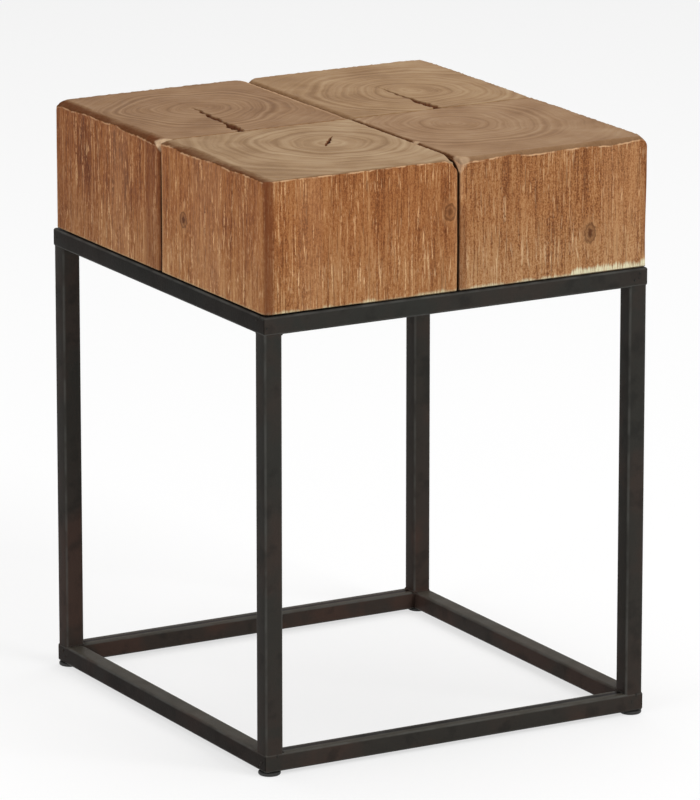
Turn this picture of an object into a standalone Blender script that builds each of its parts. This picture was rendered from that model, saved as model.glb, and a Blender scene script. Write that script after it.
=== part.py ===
"""Stool: a seat of four end-grain wood blocks on an open frame of welded square steel tube.

Metres, +Z up. The origin is on the floor under the middle of the stool, and the front faces -Y.
"""

import math

import bmesh
import bpy

# Frame of square tube
FRAME_WIDTH = 0.350
FRAME_DEPTH = 0.360
LEG_LENGTH = 0.339
LEG_INSET = 0.001
TUBE_SIDE = 0.015
TUBE_WALL = 0.0015
TUBE_CORNER = 0.002

# Seat blocks
BLOCK_HEIGHT = 0.107
BLOCK_INSET = 0.0015
BLOCK_CORNER = 0.003
BLOCK_TOP_EDGE = 0.005
BLOCK_LOW_EDGE = 0.002
SEAM_GAP = 0.0016
SEAM_SHIFT = -0.005

# Drying checks, each a wedge that opens from the pith to the block's front face
CHECK_WIDTH = 0.0035
CHECK_DEPTH = 0.040
CHECK_PITH_LEFT = (-0.002, 0.006)
CHECK_PITH_RIGHT = (-0.006, 0.002)
CHECK_SWING_LEFT = math.radians(-4.5)
CHECK_SWING_RIGHT = math.radians(1.3)

# Support cross of flat bar under the seat
BAR_WIDTH = 0.040
BAR_THICKNESS = 0.004

# Pan-head wood screws from the cross up into the blocks
SCREW_DIAMETER = 0.004
SCREW_LENGTH = 0.030
SCREW_TIP_LENGTH = 0.005
SCREW_TIP_DIAMETER = 0.001
SCREW_HEAD_DIAMETER = 0.008
SCREW_HEAD_RIM = 0.0009
SCREW_HEAD_DOME = 0.0017

# Glides with a push-in stem
GLIDE_DIAMETER = 0.018
GLIDE_HEIGHT = 0.003
GLIDE_EDGE = 0.001
STEM_DIAMETER = 0.005
STEM_LENGTH = 0.007
STEM_CHAMFER = 0.0006

# Gap left between pieces that touch, and how far a cutter runs past what it cuts
CLEARANCE = 0.0003
CUT_MARGIN = 0.002

# Facets of the round shapes
CORNER_STEPS = 4
EDGE_STEPS = 4
ROUND_STEPS = 24
SCREW_STEPS = 12
SMOOTH_ANGLE = math.radians(40)

# Heights of the stack, from the floor up
BOTTOM_RING_LOW = GLIDE_HEIGHT + CLEARANCE
LEG_LOW = BOTTOM_RING_LOW + TUBE_SIDE + CLEARANCE
TOP_RING_LOW = LEG_LOW + LEG_LENGTH + CLEARANCE
TOP_RING_HIGH = TOP_RING_LOW + TUBE_SIDE
BLOCK_LOW = TOP_RING_HIGH + CLEARANCE
BAR_LOW = TOP_RING_HIGH - BAR_THICKNESS

# Name, colour, roughness and metallic value of each finish
STEEL = ("dark_steel", (0.020, 0.017, 0.015), 0.45, 0.6)
WOOD = ("waxed_wood", (0.33, 0.16, 0.065), 0.6, 0.0)
PLASTIC = ("dark_plastic", (0.018, 0.017, 0.016), 0.55, 0.0)
ZINC = ("zinc_screw", (0.50, 0.49, 0.46), 0.35, 1.0)

SIDES = ("front", "right", "back", "left")
CORNERS = {
    "front_left": (-1, -1),
    "front_right": (1, -1),
    "back_right": (1, 1),
    "back_left": (-1, 1),
}


def clear_scene():
    """Removes every object that the file opened with."""
    for old in list(bpy.data.objects):
        bpy.data.objects.remove(old, do_unlink=True)


def principled(piece_name, finish):
    """A material of this piece's own, in one of the finishes above."""
    finish_name, colour, roughness, metallic = finish
    material = bpy.data.materials.new(f"{finish_name}_{piece_name}")
    material.use_nodes = True
    shader = material.node_tree.nodes["Principled BSDF"]
    shader.inputs["Base Color"].default_value = (*colour, 1.0)
    shader.inputs["Roughness"].default_value = roughness
    shader.inputs["Metallic"].default_value = metallic
    return material


def add_object(name, bm, parent=None, location=(0, 0, 0), turn=0.0):
    """Turns a bmesh into a smooth-shaded object, placed by its location and its turn about Z."""
    bmesh.ops.remove_doubles(bm, verts=bm.verts, dist=1e-7)
    bmesh.ops.recalc_face_normals(bm, faces=bm.faces)
    mesh = bpy.data.meshes.new(name)
    bm.to_mesh(mesh)
    bm.free()
    mesh.shade_smooth()
    mesh.set_sharp_from_angle(angle=SMOOTH_ANGLE)
    piece = bpy.data.objects.new(name, mesh)
    bpy.context.scene.collection.objects.link(piece)
    piece.parent = parent
    piece.location = location
    piece.rotation_euler = (0, 0, turn)
    return piece


def add_piece(name, bm, finish, parent, location=(0, 0, 0), turn=0.0):
    """A visible piece of the stool, with its own material."""
    piece = add_object(name, bm, parent, location, turn)
    piece.data.materials.append(principled(name, finish))
    return piece


def add_cutter(name, bm, location=(0, 0, 0)):
    """A helper that only cuts other pieces."""
    cutter = add_object(name, bm, location=location)
    cutter.hide_render = True
    cutter.display_type = "WIRE"
    return cutter


def cut(piece, cutter):
    """Cuts the cutter's shape out of the piece."""
    boolean = piece.modifiers.new(cutter.name, "BOOLEAN")
    boolean.operation = "DIFFERENCE"
    boolean.solver = "EXACT"
    boolean.object = cutter


def add_group(name):
    """An empty that a sub-assembly hangs on."""
    group = bpy.data.objects.new(name, None)
    bpy.context.scene.collection.objects.link(group)
    return group


def rounded_outline(half_x, half_y, corner):
    """Points of a rectangle with rounded corners, anticlockwise."""
    points = []
    for quarter, (sx, sy) in enumerate(((1, 1), (-1, 1), (-1, -1), (1, -1))):
        for step in range(CORNER_STEPS + 1):
            angle = (quarter + step / CORNER_STEPS) * math.pi / 2
            x = sx * (half_x - corner) + corner * math.cos(angle)
            y = sy * (half_y - corner) + corner * math.sin(angle)
            points.append((x, y))
    return points


def skin(bm, loops, close):
    """Joins loops of points with quads, and closes the shape round or with two caps."""
    rings = [[bm.verts.new(point) for point in loop] for loop in loops]
    pairs = list(zip(rings, rings[1:]))
    if close:
        pairs.append((rings[-1], rings[0]))
    else:
        bm.faces.new(rings[0])
        bm.faces.new(rings[-1])
    for low, high in pairs:
        for i in range(len(low)):
            j = (i + 1) % len(low)
            bm.faces.new((low[i], low[j], high[j], high[i]))


def turned(bm, profile, steps, centre=(0, 0)):
    """A solid turned about Z from (radius, height) points, given from its lowest point up."""
    axis_low = bm.verts.new((*centre, profile[0][1]))
    axis_high = bm.verts.new((*centre, profile[-1][1]))
    rings = []
    for radius, height in profile:
        ring = []
        for step in range(steps):
            angle = 2 * math.pi * step / steps
            x = centre[0] + radius * math.cos(angle)
            y = centre[1] + radius * math.sin(angle)
            ring.append(bm.verts.new((x, y, height)))
        rings.append(ring)
    for i in range(steps):
        j = (i + 1) % steps
        bm.faces.new((axis_low, rings[0][j], rings[0][i]))
        bm.faces.new((axis_high, rings[-1][i], rings[-1][j]))
        for low, high in zip(rings, rings[1:]):
            bm.faces.new((low[i], low[j], high[j], high[i]))


def tube_outlines():
    """Outer and inner outline of the square tube."""
    half = TUBE_SIDE / 2
    bore = half - TUBE_WALL
    outer = rounded_outline(half, half, TUBE_CORNER)
    inner = rounded_outline(bore, bore, max(TUBE_CORNER - TUBE_WALL, 0))
    return outer, inner


def rail_mesh(length):
    """Square tube along X with open mitred ends, shorter on its inner side, which is +Y."""
    bm = bmesh.new()
    outer, inner = tube_outlines()
    mitre_gap = CLEARANCE / math.sqrt(2)

    def end_loop(outline, sign):
        """The outline's points on one end, slanted by the mitre."""
        loop = []
        for across, up in outline:
            reach = length / 2 - mitre_gap - (TUBE_SIDE / 2 + across)
            loop.append((sign * reach, across, up))
        return loop

    skin(bm, [end_loop(outer, -1), end_loop(outer, 1), end_loop(inner, 1), end_loop(inner, -1)], close=True)
    return bm


def leg_mesh():
    """Square tube standing on the origin, with open ends."""
    bm = bmesh.new()
    outer, inner = tube_outlines()
    levels = ((outer, 0), (outer, LEG_LENGTH), (inner, LEG_LENGTH), (inner, 0))
    skin(bm, [[(x, y, height) for x, y in outline] for outline, height in levels], close=True)
    return bm


def add_ring(prefix, low, parent):
    """Four mitred tubes, welded into a ring that stands on the given height."""
    rails = {}
    for number, side in enumerate(SIDES):
        along_x = side in ("front", "back")
        length = FRAME_WIDTH if along_x else FRAME_DEPTH
        reach = (FRAME_DEPTH if along_x else FRAME_WIDTH) / 2 - TUBE_SIDE / 2
        turn = number * math.pi / 2
        location = (reach * math.sin(turn), -reach * math.cos(turn), low + TUBE_SIDE / 2)
        name = f"{prefix}_rail_{side}"
        rails[side] = add_piece(name, rail_mesh(length), STEEL, parent, location, turn)
    return rails


def add_legs(parent):
    """One upright tube at each corner, set back a little from the rings' outer faces."""
    reach_x = FRAME_WIDTH / 2 - LEG_INSET - TUBE_SIDE / 2
    reach_y = FRAME_DEPTH / 2 - LEG_INSET - TUBE_SIDE / 2
    for corner, (sx, sy) in CORNERS.items():
        location = (sx * reach_x, sy * reach_y, LEG_LOW)
        add_piece(f"leg_{corner}", leg_mesh(), STEEL, parent, location)


def glide_profile():
    """Half outline of a glide: a disc with a rounded lower rim, and its stem."""
    radius = GLIDE_DIAMETER / 2
    profile = []
    for step in range(EDGE_STEPS + 1):
        angle = step / EDGE_STEPS * math.pi / 2
        out = radius - GLIDE_EDGE + GLIDE_EDGE * math.sin(angle)
        profile.append((out, GLIDE_EDGE - GLIDE_EDGE * math.cos(angle)))
    stem = STEM_DIAMETER / 2
    top = GLIDE_HEIGHT + STEM_LENGTH
    profile += [(radius, GLIDE_HEIGHT), (stem, GLIDE_HEIGHT)]
    profile += [(stem, top - STEM_CHAMFER), (stem - STEM_CHAMFER, top)]
    return profile


def add_glides(parent, bottom_rails):
    """A glide under each bottom corner, its stem in a hole through the mitre of the two rails."""
    reach_x = FRAME_WIDTH / 2 - TUBE_SIDE / 2
    reach_y = FRAME_DEPTH / 2 - TUBE_SIDE / 2
    hole = STEM_DIAMETER / 2 + CLEARANCE
    hole_profile = [(hole, BOTTOM_RING_LOW - CUT_MARGIN), (hole, BOTTOM_RING_LOW + TUBE_WALL + CUT_MARGIN)]
    for corner, (sx, sy) in CORNERS.items():
        location = (sx * reach_x, sy * reach_y, 0)
        bm = bmesh.new()
        turned(bm, glide_profile(), ROUND_STEPS)
        add_piece(f"glide_{corner}", bm, PLASTIC, parent, location)
        bm = bmesh.new()
        turned(bm, hole_profile, ROUND_STEPS)
        cutter = add_cutter(f"stem_hole_{corner}", bm, location)
        for side in corner.split("_"):
            cut(bottom_rails[side], cutter)


def block_bounds(sx, sy):
    """Lowest and highest x and y of the block in one corner of the seat."""
    seam_x = sx * SEAM_GAP / 2
    seam_y = SEAM_SHIFT + sy * SEAM_GAP / 2
    outer_x = sx * (FRAME_WIDTH / 2 - BLOCK_INSET)
    outer_y = sy * (FRAME_DEPTH / 2 - BLOCK_INSET)
    return sorted((seam_x, outer_x)), sorted((seam_y, outer_y))


def block_mesh(half_x, half_y):
    """A wood block standing on the origin, with eased lower edges and well rounded top ones."""
    bm = bmesh.new()
    levels = []
    for step in range(EDGE_STEPS + 1):
        angle = step / EDGE_STEPS * math.pi / 2
        levels.append((BLOCK_LOW_EDGE * (1 - math.sin(angle)), BLOCK_LOW_EDGE * (1 - math.cos(angle))))
    for step in range(EDGE_STEPS + 1):
        angle = step / EDGE_STEPS * math.pi / 2
        height = BLOCK_HEIGHT - BLOCK_TOP_EDGE * (1 - math.sin(angle))
        levels.append((BLOCK_TOP_EDGE * (1 - math.cos(angle)), height))
    loops = []
    for inset, height in levels:
        outline = rounded_outline(half_x - inset, half_y - inset, BLOCK_CORNER)
        loops.append([(x, y, height) for x, y in outline])
    skin(bm, loops, close=False)
    return bm


def check_mesh(half_y, pith, swing):
    """Wedge from the pith to past the block's front face, in the block's own frame."""
    bm = bmesh.new()
    run = pith[1] + half_y
    length = run + CUT_MARGIN
    half_width = CHECK_WIDTH / 2 * length / run
    end_x = pith[0] + length * math.tan(swing)
    end_y = pith[1] - length
    outline = (pith, (end_x - half_width, end_y), (end_x + half_width, end_y))
    heights = (BLOCK_HEIGHT - CHECK_DEPTH, BLOCK_HEIGHT + CUT_MARGIN)
    skin(bm, [[(x, y, height) for x, y in outline] for height in heights], close=False)
    return bm


def add_blocks(parent, screw_holes):
    """The four blocks of the seat, with their pilot holes and the checks of the two back ones."""
    checks = {
        "back_left": (CHECK_PITH_LEFT, CHECK_SWING_LEFT),
        "back_right": (CHECK_PITH_RIGHT, CHECK_SWING_RIGHT),
    }
    for corner, (sx, sy) in CORNERS.items():
        (low_x, high_x), (low_y, high_y) = block_bounds(sx, sy)
        half_x = (high_x - low_x) / 2
        half_y = (high_y - low_y) / 2
        location = ((low_x + high_x) / 2, (low_y + high_y) / 2, BLOCK_LOW)
        block = add_piece(f"block_{corner}", block_mesh(half_x, half_y), WOOD, parent, location)
        cut(block, screw_holes)
        if corner in checks:
            cut(block, add_cutter(f"check_{corner}", check_mesh(half_y, *checks[corner]), location))


def box_mesh(size_x, size_y, size_z):
    """A plain bar centred on the origin in plan and standing on it."""
    bm = bmesh.new()
    outline = [(sx * size_x / 2, sy * size_y / 2) for sx, sy in CORNERS.values()]
    skin(bm, [[(x, y, height) for x, y in outline] for height in (0, size_z)], close=False)
    return bm


def short_bar_span(sy):
    """Lowest and highest y of the short bar on one side of the long one."""
    at_cross = SEAM_SHIFT + sy * (BAR_WIDTH / 2 + CLEARANCE)
    at_rail = sy * (FRAME_DEPTH / 2 - TUBE_SIDE - CLEARANCE)
    return sorted((at_cross, at_rail))


def add_support_cross(parent, screw_holes):
    """One long bar across the top ring and two short ones welded to it, flush with the ring's top."""
    long_length = FRAME_WIDTH - 2 * (TUBE_SIDE + CLEARANCE)
    long_bar = box_mesh(long_length, BAR_WIDTH, BAR_THICKNESS)
    bars = [add_piece("support_bar_long", long_bar, STEEL, parent, (0, SEAM_SHIFT, BAR_LOW))]
    for side, sy in (("front", -1), ("back", 1)):
        low_y, high_y = short_bar_span(sy)
        short_bar = box_mesh(BAR_WIDTH, high_y - low_y, BAR_THICKNESS)
        place = (0, (low_y + high_y) / 2, BAR_LOW)
        bars.append(add_piece(f"support_bar_{side}", short_bar, STEEL, parent, place))
    for bar in bars:
        cut(bar, screw_holes)


def screw_places():
    """Name and plan position of each screw: every block has one in the long bar and one in a short bar."""
    beside_seam = (SEAM_GAP / 2 + BAR_WIDTH / 2) / 2
    along_long_bar = (BAR_WIDTH / 2 + FRAME_WIDTH / 2 - TUBE_SIDE) / 2
    places = {}
    for corner, (sx, sy) in CORNERS.items():
        places[f"screw_{corner}_side"] = (sx * along_long_bar, SEAM_SHIFT + sy * beside_seam)
        places[f"screw_{corner}_middle"] = (sx * beside_seam, sum(short_bar_span(sy)) / 2)
    return places


def screw_profile():
    """Half outline of a screw that points up from its seat: domed head, shank and tip."""
    head = SCREW_HEAD_DIAMETER / 2
    shank = SCREW_DIAMETER / 2
    profile = []
    for step in range(1, EDGE_STEPS + 1):
        angle = step / EDGE_STEPS * math.pi / 2
        profile.append((head * math.sin(angle), -SCREW_HEAD_RIM - SCREW_HEAD_DOME * math.cos(angle)))
    profile += [(head, 0), (shank, 0), (shank, SCREW_LENGTH - SCREW_TIP_LENGTH)]
    profile.append((SCREW_TIP_DIAMETER / 2, SCREW_LENGTH))
    return profile


def add_screws(parent):
    """The screws that hold the blocks down, each with its head against the underside of a bar."""
    for name, place in screw_places().items():
        bm = bmesh.new()
        turned(bm, screw_profile(), SCREW_STEPS)
        add_piece(name, bm, ZINC, parent, (*place, BAR_LOW - CLEARANCE))


def screw_hole_cutter():
    """Holes for the screws, through the bars and blind into the blocks."""
    bm = bmesh.new()
    radius = SCREW_DIAMETER / 2 + CLEARANCE
    profile = [(radius, BAR_LOW - CUT_MARGIN), (radius, BAR_LOW + SCREW_LENGTH)]
    for place in screw_places().values():
        turned(bm, profile, SCREW_STEPS, place)
    return add_cutter("screw_holes", bm)


def main():
    clear_scene()
    frame = add_group("frame")
    seat = add_group("seat")
    add_ring("top", TOP_RING_LOW, frame)
    bottom_rails = add_ring("bottom", BOTTOM_RING_LOW, frame)
    add_legs(frame)
    add_glides(frame, bottom_rails)
    screw_holes = screw_hole_cutter()
    add_support_cross(frame, screw_holes)
    add_blocks(seat, screw_holes)
    add_screws(seat)


main()
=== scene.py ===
"""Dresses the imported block-top stool: grained wood blocks, a welded tube frame, glides and screws.

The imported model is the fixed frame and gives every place. Sizes inside the classes are millimetres,
and meshes are in metres.
"""

import logging
import math
from dataclasses import dataclass, field
from enum import Enum
from typing import Any, Iterable, Sequence

import bmesh
import bpy
import numpy as np
from mathutils import Matrix, Vector

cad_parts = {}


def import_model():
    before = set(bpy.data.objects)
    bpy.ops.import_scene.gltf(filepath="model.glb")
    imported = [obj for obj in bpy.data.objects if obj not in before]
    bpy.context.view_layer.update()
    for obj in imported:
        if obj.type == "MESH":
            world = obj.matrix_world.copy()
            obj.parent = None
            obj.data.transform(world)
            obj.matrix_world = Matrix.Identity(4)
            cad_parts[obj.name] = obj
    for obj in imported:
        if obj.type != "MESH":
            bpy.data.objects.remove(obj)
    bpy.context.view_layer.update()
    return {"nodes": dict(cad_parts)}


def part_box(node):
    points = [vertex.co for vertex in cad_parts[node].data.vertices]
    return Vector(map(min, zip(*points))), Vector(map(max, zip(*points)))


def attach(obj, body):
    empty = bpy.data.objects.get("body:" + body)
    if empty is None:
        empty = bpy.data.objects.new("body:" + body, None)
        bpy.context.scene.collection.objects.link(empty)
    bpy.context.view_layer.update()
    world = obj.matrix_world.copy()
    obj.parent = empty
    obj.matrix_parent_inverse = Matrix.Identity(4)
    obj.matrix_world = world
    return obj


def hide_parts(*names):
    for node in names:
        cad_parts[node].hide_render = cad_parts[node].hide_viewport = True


LOG = logging.getLogger("stool")
MM = 0.001
TINY = 1e-9
WELD_DISTANCE = 1e-6
BODY = "root"

# Heights of the blocks' lower faces and tops, and the place of the seam across the seat
BLOCK_FOOT = 373.2
BLOCK_TOP = 480.2
SEAM_MIDDLE = -5.0

Array = np.ndarray
Colour = tuple[float, float, float]
Spot = tuple[float, float]
Place = tuple[float, float, float]
Face = tuple[int, ...]


class Side(Enum):
    """The four upright sides, with the turn in degrees that carries the front side there."""

    FRONT = ("front", 0)
    RIGHT = ("right", 90)
    BACK = ("back", 180)
    LEFT = ("left", 270)

    def __init__(self, word: str, turn: int) -> None:
        """Keeps the word used in names and the turn about the upright axis."""
        self.word = word
        self.turn = math.radians(turn)


class Corner(Enum):
    """The four corners, with the signs of X and Y there."""

    FRONT_LEFT = ("front_left", -1, -1)
    FRONT_RIGHT = ("front_right", 1, -1)
    BACK_RIGHT = ("back_right", 1, 1)
    BACK_LEFT = ("back_left", -1, 1)

    def __init__(self, word: str, x_sign: int, y_sign: int) -> None:
        """Keeps the word used in names and the two signs."""
        self.word = word
        self.signs = np.array((x_sign, y_sign))


class Ring(Enum):
    """The two rings of the frame."""

    TOP = "top"
    BOTTOM = "bottom"


class Slot(Enum):
    """The record's material slots."""

    STEEL = "frame_steel"
    WOOD = "seat_wood"
    GLIDE = "glide_plastic"
    SCREW = "screw_zinc"


class LatticeNoise:
    """A smooth random field over space that is the same on every run."""

    CELLS = 64

    def __init__(self, seed: int) -> None:
        """Draws the values at the lattice points from a fixed seed."""
        self.values = np.random.default_rng(seed).uniform(-1, 1, (self.CELLS,) * 3)

    def at(self, points: Array, grain: Place) -> Array:
        """Reads the field.

        Args:
            points: places as rows of three numbers.
            grain: size of one cell along each axis, in the unit of the places.

        Returns:
            One value from -1 to 1 for each place.
        """
        scaled = points / np.array(grain)
        cell = np.floor(scaled).astype(int)
        part = smooth(scaled - cell, 0, 1)
        total = np.zeros(len(points))
        for corner in np.ndindex(2, 2, 2):
            weight = np.prod(np.where(np.array(corner, bool), part, 1 - part), axis=1)
            index = (cell + np.array(corner)) % self.CELLS
            total += weight * self.values[index[:, 0], index[:, 1], index[:, 2]]
        return total


def smooth(value: Array, low: float, high: float) -> Array:
    """Rises smoothly from 0 at low to 1 at high."""
    part = np.clip((value - low) / (high - low), 0, 1)
    return part * part * (3 - 2 * part)


def unit(vectors: Array) -> Array:
    """The same directions with a length of 1, or nought where there is none."""
    return vectors / np.maximum(np.linalg.norm(vectors, axis=1), TINY)[:, None]


def span(node: str) -> tuple[Array, Array]:
    """Lowest and highest corner of a CAD node's box, in millimetres."""
    low, high = (np.array(corner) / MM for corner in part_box(node))
    return low, high


def tube_faces(rows: int, around: int) -> list[Face]:
    """Faces of a closed stack of rows of corners.

    Args:
        rows: number of rows, from the lowest up.
        around: corners in each row, turning left seen from above.

    Returns:
        The lower end, the faces between the rows and the upper end.
    """
    faces: list[Face] = [tuple(range(around - 1, -1, -1))]
    for base in range(0, (rows - 1) * around, around):
        for col in range(around):
            after = (col + 1) % around
            faces.append((base + col, base + after, base + around + after, base + around + col))
    return [*faces, tuple(range((rows - 1) * around, rows * around))]


def make_object(name: str, points: Array, faces: Sequence[Face], edges: Sequence[Spot] = ()) -> bpy.types.Object:
    """Makes a smooth-shaded mesh object at the origin.

    Args:
        name: name of the piece.
        points: corners in metres.
        faces: corner numbers of each face.
        edges: corner numbers of each edge that has no face.

    Returns:
        The new object, linked to the scene.
    """
    mesh = bpy.data.meshes.new(name)
    mesh.from_pydata(np.asarray(points).tolist(), list(edges), faces)
    mesh.update()
    mesh.shade_smooth()
    piece = bpy.data.objects.new(name, mesh)
    bpy.context.scene.collection.objects.link(piece)
    return piece


def weld_doubles(piece: bpy.types.Object) -> None:
    """Merges corners that share a place and turns every face of a closed mesh outwards.

    Args:
        piece: mesh object.
    """
    work = bmesh.new()
    work.from_mesh(piece.data)
    bmesh.ops.remove_doubles(work, verts=work.verts, dist=WELD_DISTANCE)
    bmesh.ops.recalc_face_normals(work, faces=work.faces)
    work.to_mesh(piece.data)
    work.free()
    piece.data.update()


def apply_modifiers(piece: bpy.types.Object) -> None:
    """Keeps what an object's modifiers make as its plain mesh.

    Args:
        piece: mesh object, which has no modifier afterwards.
    """
    depsgraph = bpy.context.evaluated_depsgraph_get()
    mesh = bpy.data.meshes.new_from_object(piece.evaluated_get(depsgraph), depsgraph=depsgraph)
    piece.modifiers.clear()
    piece.data = mesh


def mark(piece: bpy.types.Object, name: str, *values: Array) -> None:
    """Stores three numbers for each corner of a piece as one vector attribute."""
    attribute = piece.data.attributes.new(name, "FLOAT_VECTOR", "POINT")
    attribute.data.foreach_set("vector", np.column_stack(values).astype(np.float32).ravel())


def hand_over(
    piece: bpy.types.Object, material: bpy.types.Material, nodes: Sequence[str] = ()
) -> None:
    """Gives a finished piece its material and body, and hides the CAD nodes that it stands for.

    Args:
        piece: finished mesh object.
        material: its finish.
        nodes: CAD nodes that the piece replaces, if any.
    """
    piece.data.materials.clear()
    piece.data.materials.append(material)
    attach(piece, BODY)
    if nodes:
        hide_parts(*nodes)
    LOG.info("piece %s: %d faces, stands for %d nodes", piece.name, len(piece.data.polygons), len(nodes))


class NodeTree:
    """Short ways to add and join the nodes of a tree."""

    PREFIX = ""

    def __init__(self, tree: bpy.types.NodeTree) -> None:
        """Keeps the tree."""
        self.tree = tree

    def put(self, socket: bpy.types.NodeSocket, value: Any) -> None:
        """Links an output to an input, or sets the input to a plain value.

        Args:
            socket: the input.
            value: an output, a number, a vector or a colour.
        """
        value = value.socket if isinstance(value, Wire) else value
        if isinstance(value, bpy.types.NodeSocket):
            self.tree.links.new(value, socket)
        elif socket.type == "RGBA":
            socket.default_value = (*value, 1.0)
        elif socket.type == "VECTOR" and isinstance(value, float):
            socket.default_value = (value,) * 3
        else:
            socket.default_value = value

    def add(self, kind: str, links: dict[Any, Any] | None = None, **settings: Any) -> bpy.types.Node:
        """Adds a node, sets its properties and fills its inputs.

        Args:
            kind: Blender's name of the node type, without the tree's prefix.
            links: for each input, by name or number, an output or a plain value.
            settings: properties of the node.

        Returns:
            The new node.
        """
        node = self.tree.nodes.new(self.PREFIX + kind)
        for key, value in settings.items():
            setattr(node, key, value)
        for key, value in (links or {}).items():
            self.put(node.inputs[key], value)
        return node


class Wire:
    """An output of a shader node, which takes part in sums and products as a number does."""

    def __init__(self, graph: "Graph", socket: bpy.types.NodeSocket) -> None:
        """Keeps the output and the nodes that it is one of."""
        self.graph = graph
        self.socket = socket

    def join(self, operation: str, *others: Any) -> "Wire":
        """Adds a Math node, or a Vector Math node where the output is a vector or a colour."""
        kind = "Math" if self.socket.type == "VALUE" else "VectorMath"
        return self.graph.out(kind, dict(enumerate((self, *others))), operation=operation)

    def __add__(self, other: Any) -> "Wire":
        """The sum."""
        return self.join("ADD", other)

    def __sub__(self, other: Any) -> "Wire":
        """The difference."""
        return self.join("SUBTRACT", other)

    def __mul__(self, other: Any) -> "Wire":
        """The product, for each part of a vector on its own."""
        return self.join("MULTIPLY", other)

    def __truediv__(self, other: Any) -> "Wire":
        """The quotient, for each part of a vector on its own."""
        return self.join("DIVIDE", other)

    def __abs__(self) -> "Wire":
        """The size without the sign."""
        return self.join("ABSOLUTE")

    def most(self, other: Any) -> "Wire":
        """The larger of the two."""
        return self.join("MAXIMUM", other)

    def least(self, other: Any) -> "Wire":
        """The smaller of the two."""
        return self.join("MINIMUM", other)

    def within(self) -> "Wire":
        """The value, kept from 0 to 1."""
        return self.graph.out("Clamp", {"Value": self})

    def length(self) -> "Wire":
        """Length of a vector."""
        return self.graph.out("VectorMath", {0: self}, 1, operation="LENGTH")

    def step(self, low: float, high: float) -> "Wire":
        """Smooth rise from 0 at low to 1 at high, or a fall where low is the larger.

        Args:
            low: where the result is 0.
            high: where the result is 1.

        Returns:
            The result, from 0 to 1.
        """
        falls = low > high
        ends = {"From Min": min(low, high), "From Max": max(low, high), "To Min": falls, "To Max": not falls}
        links = {"Value": self, **ends}
        return self.graph.out("MapRange", links, "Result", interpolation_type="SMOOTHSTEP", clamp=True)


@dataclass(frozen=True)
class Grain:
    """A noise of a finish: cells for each millimetre, octaves of finer noise and the factor on each axis.

    A factor that is small on one axis draws the noise out into streaks along it.
    """

    scale: float
    detail: float = 2
    stretch: Place = (1, 1, 1)


class Graph(NodeTree):
    """The shader nodes of one material or of the world."""

    PREFIX = "ShaderNode"
    SOCKETS = {"specular": "Specular IOR Level", "metallic": "Metallic"}

    def __init__(self, owner: bpy.types.Material | bpy.types.World) -> None:
        """Empties the owner's nodes."""
        owner.use_nodes = True
        super().__init__(owner.node_tree)
        self.owner = owner
        self.tree.nodes.clear()

    def out(self, kind: str, links: dict[Any, Any], key: Any = 0, **settings: Any) -> Wire:
        """Adds a node as add does and gives one of its outputs, by name or number."""
        return Wire(self, self.add(kind, links, **settings).outputs[key])

    def millimetres(self, offset: Place = (0, 0, 0)) -> Wire:
        """Object coordinates in millimetres, moved by an offset in millimetres."""
        return self.out("TexCoord", {}, "Object") * (1 / MM) + offset

    def noise(self, point: Wire, grain: Grain, colour: bool = False) -> Wire:
        """Adds a noise, with a value of about 0.25 to 0.75, or with three values as a colour."""
        links = {"Vector": point * grain.stretch, "Scale": grain.scale, "Detail": grain.detail}
        return self.out("TexNoise", links, "Color" if colour else "Fac", noise_dimensions="3D")

    def blend(self, share: Any, first: Any, second: Any) -> Wire:
        """Mixes two colours by the share of the second one, which is kept from 0 to 1."""
        return self.out("Mix", {"Factor": share, 6: first, 7: second}, 2, data_type="RGBA")

    def ramp(self, value: Wire, stops: Sequence[tuple[float, Colour]]) -> Wire:
        """Colour along a ramp.

        Args:
            value: place on the ramp.
            stops: places and colours in order.

        Returns:
            The colour.
        """
        node = self.add("ValToRGB", {"Fac": value})
        elements = node.color_ramp.elements
        while len(elements) < len(stops):
            elements.new(1.0)
        for element, (place, colour) in zip(elements, stops):
            element.position = place
            element.color = (*colour, 1.0)
        return Wire(self, node.outputs["Color"])

    def split(self, vector: Wire) -> list[Wire]:
        """The three numbers of a vector."""
        return [Wire(self, output) for output in self.add("SeparateXYZ", {0: vector}).outputs]

    def parts(self, attribute: str) -> list[Wire]:
        """The three numbers of one of the piece's own vector attributes."""
        return self.split(self.out("Attribute", {}, "Vector", attribute_name=attribute))

    def seen(self) -> Wire:
        """1 for rays from the camera, also by way of a mirror or glass, and 0 for other light."""
        rays = self.add("LightPath").outputs
        kinds = [Wire(self, rays[f"Is {kind} Ray"]) for kind in ("Camera", "Glossy", "Transmission")]
        return kinds[0].most(kinds[1]).most(kinds[2])

    def finish(self, colour: Any, roughness: Any, height: Any, relief: float, **plain: float) -> bpy.types.Material:
        """Adds the surface shader with its bump.

        Args:
            colour: base colour.
            roughness: roughness.
            height: bump height from 0 to 1.
            relief: how deep the bump is, in metres.
            plain: other sockets of the shader that are the same all over.

        Returns:
            The material.
        """
        bump = self.out("Bump", {"Distance": relief, "Height": height}, "Normal")
        links = {"Base Color": colour, "Roughness": roughness, "Normal": bump}
        links |= {self.SOCKETS[key]: value for key, value in plain.items()}
        self.add("OutputMaterial", {"Surface": self.out("BsdfPrincipled", links, "BSDF")})
        return self.owner


@dataclass(frozen=True)
class Knot:
    """A knot on an upright side of a block: its middle, the level direction of that side and its size."""

    centre: Place
    across: Place
    half_width: float
    half_height: float
    core: float = 1.0


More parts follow.
